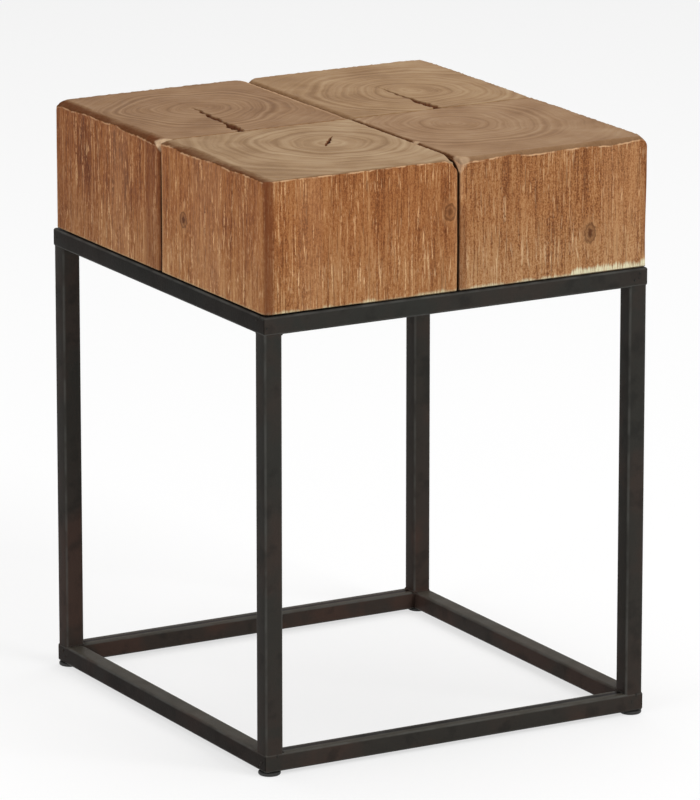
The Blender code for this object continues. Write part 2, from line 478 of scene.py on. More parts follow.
@dataclass(frozen=True)
class WoodFinish:
    """Oiled wood: end-grain rings on top, combed fibres down the sides, worn edges that are darker partly by wear and
    partly as painted shade, and painted shade in the seams, in the checks and along the foot.
    """

    name: str
    pith: Spot
    ring_pitch: float
    ring_contrast: float
    contrast: float = 1.0
    streaks: float = 1.0
    grit: float = 0.24
    top_slope: float = 0.0
    tint: Colour = (1.0, 1.0, 1.0)
    top_tint: Colour = (1.0, 1.0, 1.0)
    knots: tuple[Knot, ...] = ()
    shift: Place = (0, 0, 0)
    ring_reach: float = 85.0
    side_dark: Colour = (0.145, 0.044, 0.014)
    side_deep: Colour = (0.242, 0.082, 0.027)
    side_main: Colour = (0.336, 0.128, 0.043)
    side_pale: Colour = (0.440, 0.202, 0.082)
    fibre: Colour = (0.740, 0.430, 0.225)
    raw: Colour = (0.740, 0.600, 0.370)
    knot: Colour = (0.080, 0.022, 0.007)
    lip: Colour = (0.660, 0.410, 0.225)
    broken: Colour = (0.700, 0.500, 0.320)
    heart: Colour = (0.128, 0.034, 0.010)
    top_dark: Colour = (0.205, 0.108, 0.048)
    top_main: Colour = (0.285, 0.165, 0.083)
    top_pale: Colour = (0.372, 0.240, 0.135)
    # The worn edges' colour, darker partly by wear and partly as painted shade
    edge: Colour = (0.088, 0.024, 0.005)
    # The painted shade of the checks, the seams and the foot, then the painted light on the checks' upper walls
    check: Colour = (0.022, 0.012, 0.007)
    check_lit: Colour = (0.190, 0.070, 0.030)
    upper: Colour = (0.99, 0.96, 0.93)
    lower: Colour = (1.03, 1.10, 1.17)
    relief: float = 0.0006

    # Noises of the upright sides, from broad zones to fine grit
    ZONE = Grain(0.022, 2, (1, 0.8, 0.35))
    PATCH = Grain(0.05, 2, (1, 1, 0.6))
    GATE = Grain(0.08, 2, (1, 1, 0.1))
    BAND = Grain(0.16, 2, (1, 0.75, 0.09))
    KNOT_EDGE = Grain(0.38, 3)
    LINE = Grain(0.60, 1, (1, 0.62, 0.033))
    LONG_DASH = Grain(0.66, 0, (1, 0.62, 0.040))
    SLIT = Grain(0.80, 1, (1.07, 0.60, 0.044))
    SPECK = Grain(0.85, 3, (1, 0.62, 0.36))
    DASH = Grain(0.86, 1, (1, 0.62, 0.076))
    GRIT = Grain(1.05, 0, (1, 0.6, 0.8))
    FINE = Grain(1.1, 1, (1, 0.62, 0.090))

    # Noises of the end grain
    WARP = Grain(0.016, 1)
    TOP_PATCH = Grain(0.024, 3)
    FADE = Grain(0.03, 1, (1.1, 0.9, 1))
    WOBBLE = Grain(0.06, 1)
    PORE = Grain(0.8, 2)

    # Noises of the worn edges
    CLOUD = Grain(0.10, 3, (1, 1, 0.25))
    GAPS = Grain(0.11, 4)
    SHEEN = Grain(0.12, 2)
    RAGGED = Grain(0.22, 3, (1, 1, 0.5))

    def flow(self, graph: Graph, point: Wire) -> tuple[Wire, Any, Any]:
        """Bends the fibres round the knots.

        Args:
            graph: the material's nodes.
            point: place in millimetres.

        Returns:
            The bent place, the dark share and the swirl share of the knots.
        """
        dark: Any = 0.0
        swirl: Any = 0.0
        for knot in self.knots:
            away = point - knot.centre
            along = graph.out("VectorMath", {0: away, 1: knot.across}, 1, operation="DOT_PRODUCT")
            radius = (away / (knot.half_width, knot.half_width, knot.half_height)).length()
            ragged = radius + graph.noise(point, self.KNOT_EDGE) * 0.7 - 0.35
            push = along * -0.55 / (radius * radius).most(1.0)
            point = point + graph.out("VectorMath", {0: knot.across, 1: push}, operation="MULTIPLY")
            rim = abs(ragged - 0.95).step(0.28, 0.06)
            body = ragged.step(1.0, 0.85) * (0.36 * knot.core) + ragged.step(0.66, 0.26) * (0.55 * knot.core)
            dark = body.most(rim * 0.62).most(dark)
            swirl = ragged.step(2.3, 1.2).most(swirl)
        return point, dark, swirl

    def side_colour(self, graph: Graph, point: Wire, raw_height: Wire) -> tuple[Wire, Wire]:
        """Colour and relief of the upright sides.

        Args:
            graph: the material's nodes.
            point: place in millimetres.
            raw_height: how high the pale torn foot reaches, in millimetres.

        Returns:
            The colour and the bump height.
        """
        bent, dark, swirl = self.flow(graph, point)
        zone, band, line, fine, speck, dash, long_dash, slit = (
            graph.noise(bent, grain)
            for grain in (self.ZONE, self.BAND, self.LINE, self.FINE, self.SPECK, self.DASH, self.LONG_DASH, self.SLIT)
        )
        grit, patch, gate = (graph.noise(point, grain) for grain in (self.GRIT, self.PATCH, self.GATE))
        x, _, z = graph.split(point)
        low_part = z.step(440, 384)
        calm_and_shaded = x.step(-169.5, -171.5)
        # The base colour: streaks of every width, calmer on the left faces, which are also a little darker as painted
        # shade
        gritty = (grit - 0.5) * (calm_and_shaded * (-0.65 * self.grit) + self.grit)
        tone = zone * 0.20 + band * 0.26 + line * 0.27 + fine * 0.18 + speck * 0.24
        tone = tone + low_part * 0.034 + gritty - calm_and_shaded * 0.016 - 0.550
        tone = tone * (calm_and_shaded * (0.08 * self.contrast) + 0.80 * self.contrast) + 0.665
        colours = (self.side_dark, self.side_deep, self.side_main, self.side_pale)
        colour = graph.ramp(tone, tuple(zip((0.550, 0.620, 0.685, 0.780), colours)))
        # Torn cream fibres and dark slits between them
        patch = (low_part * 0.45 + patch.step(0.38, 0.60)).within()
        cream = dash.step(0.63, 0.71) * (patch + 0.22)
        cream = cream.most(long_dash.step(0.67, 0.74) * speck.step(0.36, 0.50))
        cream = cream.most(speck.step(0.58, 0.70) * patch * 0.55)
        cream = cream * (grit.step(0.62, 0.36) * 0.40 + 0.60) * (calm_and_shaded * -0.12 + 1.0)
        colour = graph.blend(cream * (0.84 * self.streaks), colour, self.fibre)
        slit = slit.step(0.63, 0.72)
        colour = graph.blend(slit * (0.46 * self.contrast), colour, self.side_dark)
        colour = graph.blend(swirl * 0.45, colour, self.side_pale)
        colour = graph.blend(dark, colour, self.knot)
        # The pale torn foot
        gate = gate.step(0.40, 0.62).most(raw_height.step(2.2, 3.6))
        ragged = raw_height * (line * 1.3 + fine * 0.9 + band * 1.4 - 0.7) * gate
        torn = (z - ragged).step(BLOCK_FOOT + 2.6, BLOCK_FOOT - 1.6)
        colour = graph.blend(torn * (fine.step(0.36, 0.56) * 0.42 + 0.52), colour, self.raw)
        colour = colour * graph.blend(low_part, self.upper, self.lower) * self.tint
        return colour, fine * 0.9 + cream * 0.25 - slit * 0.45

    def top_colour(self, graph: Graph, point: Wire) -> tuple[Wire, Wire]:
        """Colour and relief of the end grain.

        Args:
            graph: the material's nodes.
            point: place in millimetres.

        Returns:
            The colour and the bump height.
        """
        flat = point * (1, 1, 0)
        patch, pore, fade = (graph.noise(flat, grain) for grain in (self.TOP_PATCH, self.PORE, self.FADE))
        warp, wobble = (graph.noise(flat, grain, True) - 0.5 for grain in (self.WARP, self.WOBBLE))
        pith = (*self.pith, 0)
        distance = ((flat + warp * 26.0 + wobble * 3.4 - pith) * (1, 1, 0)).length()
        phase = distance / self.ring_pitch
        part = phase.join("FRACT")
        year = graph.out("TexWhiteNoise", {"W": phase.join("FLOOR")}, "Value", noise_dimensions="1D")
        wide = graph.out("TexNoise", {"W": phase * 1.5, "Scale": 1.0}, "Fac", noise_dimensions="1D")
        late = part.step(0.35, 0.90) * part.step(1.0, 0.90) * (year + 0.15) * (fade.step(0.30, 0.62) + 0.25)
        strength = distance.step(self.ring_reach * 1.35, self.ring_reach * 0.6) * 0.65 + 0.35
        rings = (wide * 0.54 - late * 0.06 - 0.275) * strength
        aside = (graph.split(flat)[0] - self.pith[0]) * self.top_slope
        tone = patch * 0.62 + rings * self.ring_contrast + pore * 0.12 + aside + 0.09
        colour = graph.ramp(tone, ((0.26, self.top_dark), (0.43, self.top_main), (0.66, self.top_pale)))
        return colour * self.top_tint, pore * 0.30 - late * 0.25

    def material(self) -> bpy.types.Material:
        """Builds the whole finish from the piece's attributes edge, skin and flaw.

        Returns:
            The material.
        """
        graph = Graph(bpy.data.materials.new(self.name))
        point = graph.millimetres()
        moved = point + self.shift
        rim, width, tone = graph.parts("edge")
        lip, post, raw = graph.parts("skin")
        heart, depth, chip = graph.parts("flaw")
        side, side_relief = self.side_colour(graph, point, raw)
        top, top_relief = self.top_colour(graph, point)
        cloud, gaps, sheen, ragged = (
            graph.noise(moved, grain) for grain in (self.CLOUD, self.GAPS, self.SHEEN, self.RAGGED)
        )
        # How far a place lies above the lower border of the worn edge, and above its upper border
        low = (ragged - 0.5) * 1.6 + rim
        high = (ragged - 0.5) * 1.2 + rim - width * 0.94
        # Painted shade just under the worn edge, then reddish and pale bands down the sides and at the upright edges
        side = graph.blend(low.step(-5.0, -1.5) * tone * 0.35, side, self.side_deep)
        side = graph.blend(heart * (cloud * -0.9 - 0.1), side, self.fibre)
        reddish = heart * cloud.step(0.15, 0.42)
        side = graph.blend(reddish * 0.74, side, self.heart)
        side = graph.blend(post.step(0.08, 0.45) * cloud.step(0.22, 0.50) * 0.66, side, self.heart)
        # The worn edge, darker where its tone is above nought, partly by wear and partly as painted shade, and paler
        # where it is below, as a painted highlight
        share = ((low / width).within() * -0.10 + 1.0) * (cloud * 0.8 + 0.60).within()
        worn = graph.blend(tone * share, top, self.edge)
        worn = graph.blend(tone * -1.0, worn, self.lip)
        worn = graph.blend(reddish * 0.7, worn, self.heart)
        colour = graph.blend(low.step(-0.25, 0.25), side, worn)
        colour = graph.blend(high.step(-1.9, 1.3), colour, top)
        line = abs(low + 0.4).step(0.90, 0.25) * lip * gaps.step(0.42, 0.60)
        colour = graph.blend(line * 0.80, colour, self.lip)
        # Chips; checks with painted light on their upper walls and painted shade deeper in; painted shade in the seams
        # between the blocks and a painted shadow along the joint with the frame
        colour = graph.blend(chip * cloud.step(0.05, 0.70), colour, self.broken)
        inside = graph.blend(depth.step(0.10, 0.42), self.check_lit, self.check)
        colour = graph.blend(depth.step(0.005, 0.06), colour, inside)
        x, y, z = graph.split(point)
        # Painted shade on the faces inside the seams between the blocks
        seam = abs(x).least(abs(y - SEAM_MIDDLE)).step(1.7, 1.0)
        seam = seam * low.step(0.3, -2.0) * chip.step(0.5, 0.1)
        # Painted shadow along the foot, where the block sits on the frame
        foot = z.step(BLOCK_FOOT + 1.5, BLOCK_FOOT + 0.7)
        colour = graph.blend(seam.most(foot) * 0.90, colour, self.check)
        colour = graph.blend(z.step(BLOCK_FOOT + 0.45, BLOCK_FOOT + 0.15), colour, top)
        relief = side_relief + (top_relief - side_relief) * high.step(-1.0, 1.0)
        matt = (low.step(-0.25, 0.25) * high.step(1.3, -1.9) * tone).within()
        rough = (sheen * -0.16 + matt * 0.40 + 0.68).within()
        return graph.finish(colour, rough, relief, self.relief, specular=0.10)


@dataclass(frozen=True)
class EdgeWearAndShade:
    """How one top edge of a block is worn and shaded: reach over the top, reach down the side, and its look, whose
    tone is partly real wear and partly painted shade, and a painted highlight where the tone is below nought.
    """

    inset: float
    drop: float
    # Above nought the tone darkens the edge, partly by wear and partly as painted shade; below nought it paints a
    # highlight
    tone: float
    lip: float
    rough: float = 0.2


@dataclass(frozen=True)
class Post:
    """How one upright edge of a block is worn: its radius, how reddish it is and how worn its top is."""

    radius: float
    tone: float
    wear: float = 0.4


@dataclass(frozen=True)
class DryingCheck:
    """A drying crack in the end grain, from its fine end to its wide end."""

    start: Spot
    end: Spot
    widths: tuple[float, ...]
    depth: float
    wander: float = 0.7


@dataclass(frozen=True)
class Chip:
    """A small break or dip at an edge: its place, its reach, how far it is pushed in, and how pale it is."""

    centre: Place
    reach: Place
    push: Place
    pale: float = 0.0


@dataclass(frozen=True)
class HeartBand:
    """A smooth reddish band down an upright side, in a given box. A share below zero makes it pale."""

    low: Place
    high: Place
    share: float


@dataclass(frozen=True)
class TornFoot:
    """A place where the pale torn foot of a block reaches higher."""

    centre: Place
    radius: float
    height: float


@dataclass
class SeatBlock:
    """One end-grain block of the seat."""

    corner: Corner
    finish: WoodFinish
    edges: dict[Side, EdgeWearAndShade]
    seed: int
    posts: dict[Corner, Post]
    checks: tuple[DryingCheck, ...] = ()
    chips: tuple[Chip, ...] = ()
    hearts: tuple[HeartBand, ...] = ()
    torn_feet: tuple[TornFoot, ...] = ()
    plain_post: Post = Post(1.0, 0.15)
    bluntness: float = 1.7
    corner_reach: float = 13.0
    foot_radius: float = 1.2
    torn_front: float = 1.6
    torn_side: float = 0.4
    # The grid: insets of the rows below, zones at the foot, at the rim and along the edges, and steps
    foot_insets: tuple[float, ...] = (12.0, 2.0, 1.3, 0.6)
    foot_zone: float = 4.0
    foot_step: float = 0.8
    rise_step: float = 2.0
    rim_zone: float = 13.0
    rim_rows: int = 22
    edge_zone: float = 14.0
    edge_step: float = 0.6
    step: float = 1.25
    slit_step: float = 0.42
    slit_reach: float = 40.0
    low: Array = field(init=False)
    size: Array = field(init=False)
    noise: LatticeNoise = field(init=False)
    box: Array = field(init=False)
    faces: list[Face] = field(init=False)

    # Cells of the noises: waves of the edges, relief of the sides and the edges, swell of the top, checks
    WAVE, RIPPLE = (24, 24, 24), (9, 9, 9)
    FIBRE, RIB, BULGE = (1.5, 1.5, 34), (4.2, 4.2, 60), (30, 30, 110)
    CRUMB, SWELL, DIMPLE = (2.4, 2.4, 2.4), (30, 30, 30), (7, 7, 7)
    CHECK_PATH, CHECK_LIPS = (4.2, 9, 9), (3.2, 9, 9)

    def __post_init__(self) -> None:
        """Reads the block's place from its CAD node and lays the grid over its plain box."""
        self.node = "block_" + self.corner.word
        self.low, high = span(self.node)
        self.size = high - self.low
        self.noise = LatticeNoise(self.seed)
        self.box, self.faces = self.grid()

    def lines(self, length: float, zones: Iterable[Place]) -> Array:
        """Places of grid lines along one axis.

        Args:
            length: length of the block on that axis.
            zones: start, end and step of the zones that are finer than the rest.

        Returns:
            The places, from 0 to the length.
        """
        places = [0.0]
        while places[-1] < length:
            here = places[-1]
            steps = [step for low, high, step in zones if low <= here < high]
            places.append(here + min(steps, default=self.step))
        return np.array(places) * (length / places[-1])

    def grid(self) -> tuple[Array, list[Face]]:
        """Corners of a plain box with a grid on its sides and top.

        Returns:
            The corners, with the low corner at zero, and the faces.
        """
        size, edge = self.size, self.edge_zone
        zones = [[(0.0, edge, self.edge_step), (s - edge, s, self.edge_step)] for s in size[:2]]
        for check in self.checks:
            for axis in (0, 1):
                first, last = sorted((check.start[axis] - self.low[axis], check.end[axis] - self.low[axis]))
                margin = max(check.widths)
                if last - first < self.slit_reach:
                    zones[axis].append((first - margin, last + margin, self.slit_step))
        across, deep = (self.lines(size[axis], zones[axis]) for axis in (0, 1))
        rim = size[2] - self.rim_zone
        foot = np.arange(0, self.foot_zone, self.foot_step)
        rise = np.arange(self.foot_zone, rim, self.rise_step)
        rise = np.concatenate((foot, rise, np.linspace(rim, size[2], self.rim_rows)))
        loop = np.array(
            [(x, 0) for x in across[:-1]]
            + [(size[0], y) for y in deep[:-1]]
            + [(x, size[1]) for x in across[:0:-1]]
            + [(0, y) for y in deep[:0:-1]]
        )
        around = len(loop)
        pulled = [inset + loop * (size[:2] - 2 * inset) / size[:2] for inset in self.foot_insets]
        rows = [np.column_stack((row, np.zeros(around))) for row in pulled]
        rows += [np.column_stack((loop, np.full(around, z))) for z in rise]
        # The top: numbers of the last row round the rim, and new ones inside it
        nx, ny = len(across) - 1, len(deep) - 1
        rim_start = (len(rows) - 1) * around
        table = np.zeros((nx + 1, ny + 1), int)
        table[:nx, 0] = rim_start + np.arange(nx)
        table[nx, :ny] = rim_start + nx + np.arange(ny)
        table[nx:0:-1, ny] = rim_start + nx + ny + np.arange(nx)
        table[0, ny:0:-1] = rim_start + 2 * nx + ny + np.arange(ny)
        inner = len(rows) * around + np.arange((nx - 1) * (ny - 1))
        table[1:nx, 1:ny] = inner.reshape(nx - 1, ny - 1)
        mesh_x, mesh_y = np.meshgrid(across[1:nx], deep[1:ny], indexing="ij")
        top = np.column_stack((mesh_x.ravel(), mesh_y.ravel(), np.full(mesh_x.size, size[2])))
        quads = np.stack((table[:-1, :-1], table[1:, :-1], table[1:, 1:], table[:-1, 1:]), axis=-1)
        faces = tube_faces(len(rows), around)[:-1] + [tuple(quad) for quad in quads.reshape(-1, 4).tolist()]
        return np.concatenate((*rows, top)), faces

    def corner_gap(self) -> Array:
        """How far each corner of the grid is from the nearest upright edge, along X and then Y."""
        return np.minimum(self.box[:, :2], self.size[:2] - self.box[:, :2]).sum(axis=1)

    def worn(self, name: str) -> Array:
        """One value of the edge wear and its painted shade, blended between the four sides.

        Args:
            name: field of EdgeWearAndShade.

        Returns:
            One value for each corner of the grid.
        """
        x, y = self.box[:, 0], self.box[:, 1]
        near = {Side.LEFT: x, Side.RIGHT: self.size[0] - x, Side.FRONT: y, Side.BACK: self.size[1] - y}
        weights = {side: np.exp(-gap / 2.5) + TINY for side, gap in near.items()}
        total = sum(weights[side] * getattr(self.edges[side], name) for side in Side)
        return total / sum(weights.values())

    def upright_edges(self) -> Array:
        """Radius, tone and wear of the upright edge nearest to each corner of the grid.

        Returns:
            The three values, in rows of their own.
        """
        values = np.zeros((3, len(self.box)))
        signs = np.where(self.box[:, :2] < self.size[:2] / 2, -1, 1)
        for corner in Corner:
            post = self.posts.get(corner, self.plain_post)
            here = (signs == corner.signs).all(axis=1)
            values[:, here] = np.array([(post.radius,), (post.tone,), (post.wear,)])
        return values

    def rounded(self) -> tuple[Array, dict[str, Array]]:
        """Wears the edges of the plain box round.

        Returns:
            The moved corners and what the finish needs to know of each.
        """
        box, size = self.box, self.size
        # An added offset reads the same random field in another place
        flat = (box + self.low) * (1, 1, 0)
        wave = self.noise.at(flat, self.WAVE) + 0.25 * self.noise.at(flat + 300, self.RIPPLE)
        wave = np.maximum(1 + self.worn("rough") * wave, 0.3)
        post_radius, post_tone, post_wear = self.upright_edges()
        wave = wave * (1 + post_wear * np.exp(-self.corner_gap() / self.corner_reach))
        drop = self.worn("drop") * wave
        reach = smooth(box[:, 2], size[2] - 9, size[2] - 2.5)
        plan = {}
        for side in Side:
            inset = self.edges[side].inset * (0.70 + 0.30 * wave)
            plan[side] = post_radius + (inset - post_radius) * reach
        # The core is the box less its rounded edges, and radius is the edges' size along each axis
        least = np.column_stack((plan[Side.LEFT], plan[Side.FRONT], np.full(len(box), self.foot_radius)))
        most = np.column_stack((plan[Side.RIGHT], plan[Side.BACK], drop))
        core = np.clip(box, least, size - most)
        radius = np.where(box < size / 2, least, most)
        away = (box - core) / radius
        norm = (np.abs(away) ** self.bluntness).sum(axis=1) ** (1 / self.bluntness)
        moved = core + radius * away / np.maximum(norm, TINY)[:, None]
        # Way up the worn edge and on over the top, the edge's width, and the share of the upright edge
        level = np.abs(away[:, :2]).max(axis=1)
        turn = np.arctan2(np.maximum(away[:, 2], 0), level + TINY) / (math.pi / 2)
        width = 1.08 * np.hypot(drop, radius[:, :2].min(axis=1))
        inside = np.minimum(box - least, size - most - box)[:, :2].min(axis=1)
        below = box[:, 2] - (size[2] - drop)
        rim = np.where(below < 0, below, turn * width + np.where(level == 0, np.maximum(inside, 0), 0))
        post = post_tone * np.abs(away[:, :2]).min(axis=1) / np.maximum(level, TINY)
        return moved, {"rim": rim, "width": width, "post": post, "away": away}

    def roughened(self, moved: Array, marks: dict[str, Array]) -> Array:
        """Adds the relief of the fibres on the sides and the soft unevenness of the top.

        Args:
            moved: corners with worn edges.
            marks: what is known of each corner.

        Returns:
            The moved corners.
        """
        noise, rim, width, away = self.noise, marks["rim"], marks["width"], marks["away"]
        place = moved + self.low
        flat = place * (1, 1, 0)
        relief = 0.17 * noise.at(place, self.FIBRE) + 0.20 * noise.at(place + 70, self.RIB)
        relief = relief + 0.42 * noise.at(place + 140, self.BULGE) - 0.05
        upright = smooth(-rim, -1.0, 4.0) * smooth(moved[:, 2], 0.3, 3.0)
        result = moved + unit(away * (1, 1, 0)) * (relief * upright)[:, None]
        band = smooth(rim, -2.0, 0.0) * smooth(width - rim, -1.5, 1.0)
        result += unit(away) * (band * (0.30 * noise.at(place + 31, self.CRUMB) - 0.1))[:, None]
        swell = 0.26 * noise.at(flat, self.SWELL) + 0.07 * noise.at(flat, self.DIMPLE)
        result[:, 2] += (swell - 0.2) * smooth(rim - width, 0.0, 6.0)
        return result

    def opened(self, points: Array) -> tuple[Array, Array]:
        """Opens the drying checks from the top.

        Args:
            points: corners of the block.

        Returns:
            The moved corners and how deep each lies in a check, from 0 to 1.
        """
        result = points.copy()
        depth_share = np.zeros(len(points))
        for check in self.checks:
            start, end = np.array(check.start), np.array(check.end)
            length = float(np.linalg.norm(end - start))
            line = (end - start) / length
            place = (points + self.low)[:, :2] - start
            along = place @ line
            share = along / length
            path = np.column_stack((along, along * 0, along * 0))
            wander = check.wander * self.noise.at(path + 11, self.CHECK_PATH)
            across = place @ np.array((-line[1], line[0])) + wander * smooth(along, 0, 8)
            lips = np.column_stack((along, 20 * np.sign(across), along * 0))
            width = np.interp(share, np.linspace(0, 1, len(check.widths)), check.widths, left=0)
            width = width * (1 + 0.65 * self.noise.at(lips + 57, self.CHECK_LIPS))
            width = np.where((share < 0) | (share > 1.08), 0, np.maximum(width, 0))
            inside = np.clip(1 - (np.abs(across) / np.maximum(width / 2, WELD_DISTANCE)) ** 4, 0, 1)
            inside = np.where(width > 0.05, inside, 0)
            sunk = inside * check.depth * smooth(share, -0.02, 0.35)
            result[:, 2] = np.minimum(result[:, 2], points[:, 2] * (1 - sunk / self.size[2]))
            depth_share = np.maximum(depth_share, sunk / check.depth)
        return result, depth_share

    def chipped(self, points: Array) -> tuple[Array, Array]:
        """Breaks small pieces off the edges.

        Args:
            points: corners of the block.

        Returns:
            The moved corners and how pale each is, from 0 to 1.
        """
        result = points.copy()
        pale = np.zeros(len(points))
        for chip in self.chips:
            gap = (np.abs(points + self.low - np.array(chip.centre)) / np.array(chip.reach)).sum(axis=1)
            result += np.array(chip.push) * smooth(-gap, -1, -0.25)[:, None]
            pale = np.maximum(pale, smooth(-gap, -1.0, -0.72) * chip.pale)
        return result, pale

    def bands(self, place: Array, soft: float = 3.0) -> Array:
        """Where the reddish and pale bands are.

        Args:
            place: corners in the scene.
            soft: half the width of the bands' soft borders.

        Returns:
            The share of the band at each corner, below zero for a pale one.
        """
        heart = np.zeros(len(place))
        for band in self.hearts:
            low, high = np.array(band.low), np.array(band.high)
            inside = smooth(place - low, -soft, soft) * smooth(high - place, -soft, soft)
            share = inside.prod(axis=1) * band.share
            heart = np.where(np.abs(share) > np.abs(heart), share, heart)
        return heart

    def torn(self, place: Array) -> Array:
        """Height of the pale torn foot.

        Args:
            place: corners in the scene.

        Returns:
            The height at each corner, in millimetres.
        """
        height = np.where(place[:, 1] < -176, self.torn_front, self.torn_side)
        for foot in self.torn_feet:
            gap = np.linalg.norm(place - np.array(foot.centre), axis=1)
            height = np.maximum(height, foot.height * smooth(-gap, -foot.radius, -foot.radius * 0.6))
        return height

    def build(self) -> None:
        """Builds the block where its CAD node is."""
        moved, marks = self.rounded()
        moved = self.roughened(moved, marks)
        moved, depth = self.opened(moved)
        moved, pale = self.chipped(moved)
        place = moved + self.low
        piece = make_object(self.node + "_wood", place * MM, self.faces)
        lip = self.worn("lip") * (1 - np.exp(-self.corner_gap() / 5))
        mark(piece, "edge", marks["rim"], marks["width"], self.worn("tone"))
        mark(piece, "skin", lip, marks["post"], self.torn(place))
        mark(piece, "flaw", self.bands(place), depth, pale)
        hand_over(piece, self.finish.material(), [self.node])


@dataclass(frozen=True)
class SteelFinish:
    """Satin charcoal paint over welded steel, with brown patches, edges worn by rubbing that carry a painted
    highlight, dust and painted light on faces that look up, and painted shade on faces turned from the light.
    """

    name: str
    charcoal: Colour = (0.0305, 0.0303, 0.0268)
    brown: Colour = (0.0550, 0.0352, 0.0282)
    soot: Colour = (0.0165, 0.0162, 0.0152)
    # Edges worn by rubbing, with a painted highlight along the rounded corners
    rubbed_and_highlit: Colour = (0.0980, 0.0980, 0.0900)
    # Dust with painted light, for faces that look up
    dusty_and_lit: Colour = (0.0720, 0.0650, 0.0520)
    shade: Colour = (0.0072, 0.0058, 0.0050)
    roughness: float = 0.38
    relief: float = 0.00025
    offset: Place = (130, 40, 70)

    PATCH = Grain(0.016, 3)
    WEAR = Grain(0.05, 2)
    CLOUD = Grain(0.055, 3)
    SPECK = Grain(0.7, 2)

    def material(self) -> bpy.types.Material:
        """Builds the finish from the piece's attribute ridge.

        Returns:
            The material.
        """
        graph = Graph(bpy.data.materials.new(self.name))
        point = graph.millimetres(self.offset)
        patch, wear, cloud, speck = (
            graph.noise(point, grain) for grain in (self.PATCH, self.WEAR, self.CLOUD, self.SPECK)
        )
        ridge, upward, heat = graph.parts("ridge")
        _, y, z = graph.split(graph.millimetres())
        # Brown from the heat of the welds, in patches, and near the floor, mostly at the back
        near_floor = z.step(330, 60) * (y.step(-176, -160) * 0.65 + 0.35)
        stain = patch.step(0.46, 0.64) * (near_floor * 0.6 + 0.3)
        burnt = heat * cloud.step(0.30, 0.58) * 0.40 + stain + near_floor * 0.36
        colour = graph.blend(burnt, self.charcoal, self.brown)
        colour = graph.blend(cloud.step(0.50, 0.70) * 0.45, colour, self.soot)
        # Faces that look up get dust and painted light, and those below zero get painted shade
        colour = graph.blend(upward * 0.75, colour, self.dusty_and_lit)
        colour = graph.blend(upward * -0.80, colour, self.shade)
        # Rounded edges, partly worn by rubbing and partly given a painted highlight
        rub_and_highlight = ridge * (wear.step(0.34, 0.62) * 0.65 + 0.35)
        colour = graph.blend(rub_and_highlight * 0.60, colour, self.rubbed_and_highlit)
        rough = (cloud - 0.5) * 0.30 + self.roughness
        return graph.finish(colour, rough, speck * 0.6 + cloud * 0.4, self.relief, specular=0.02)


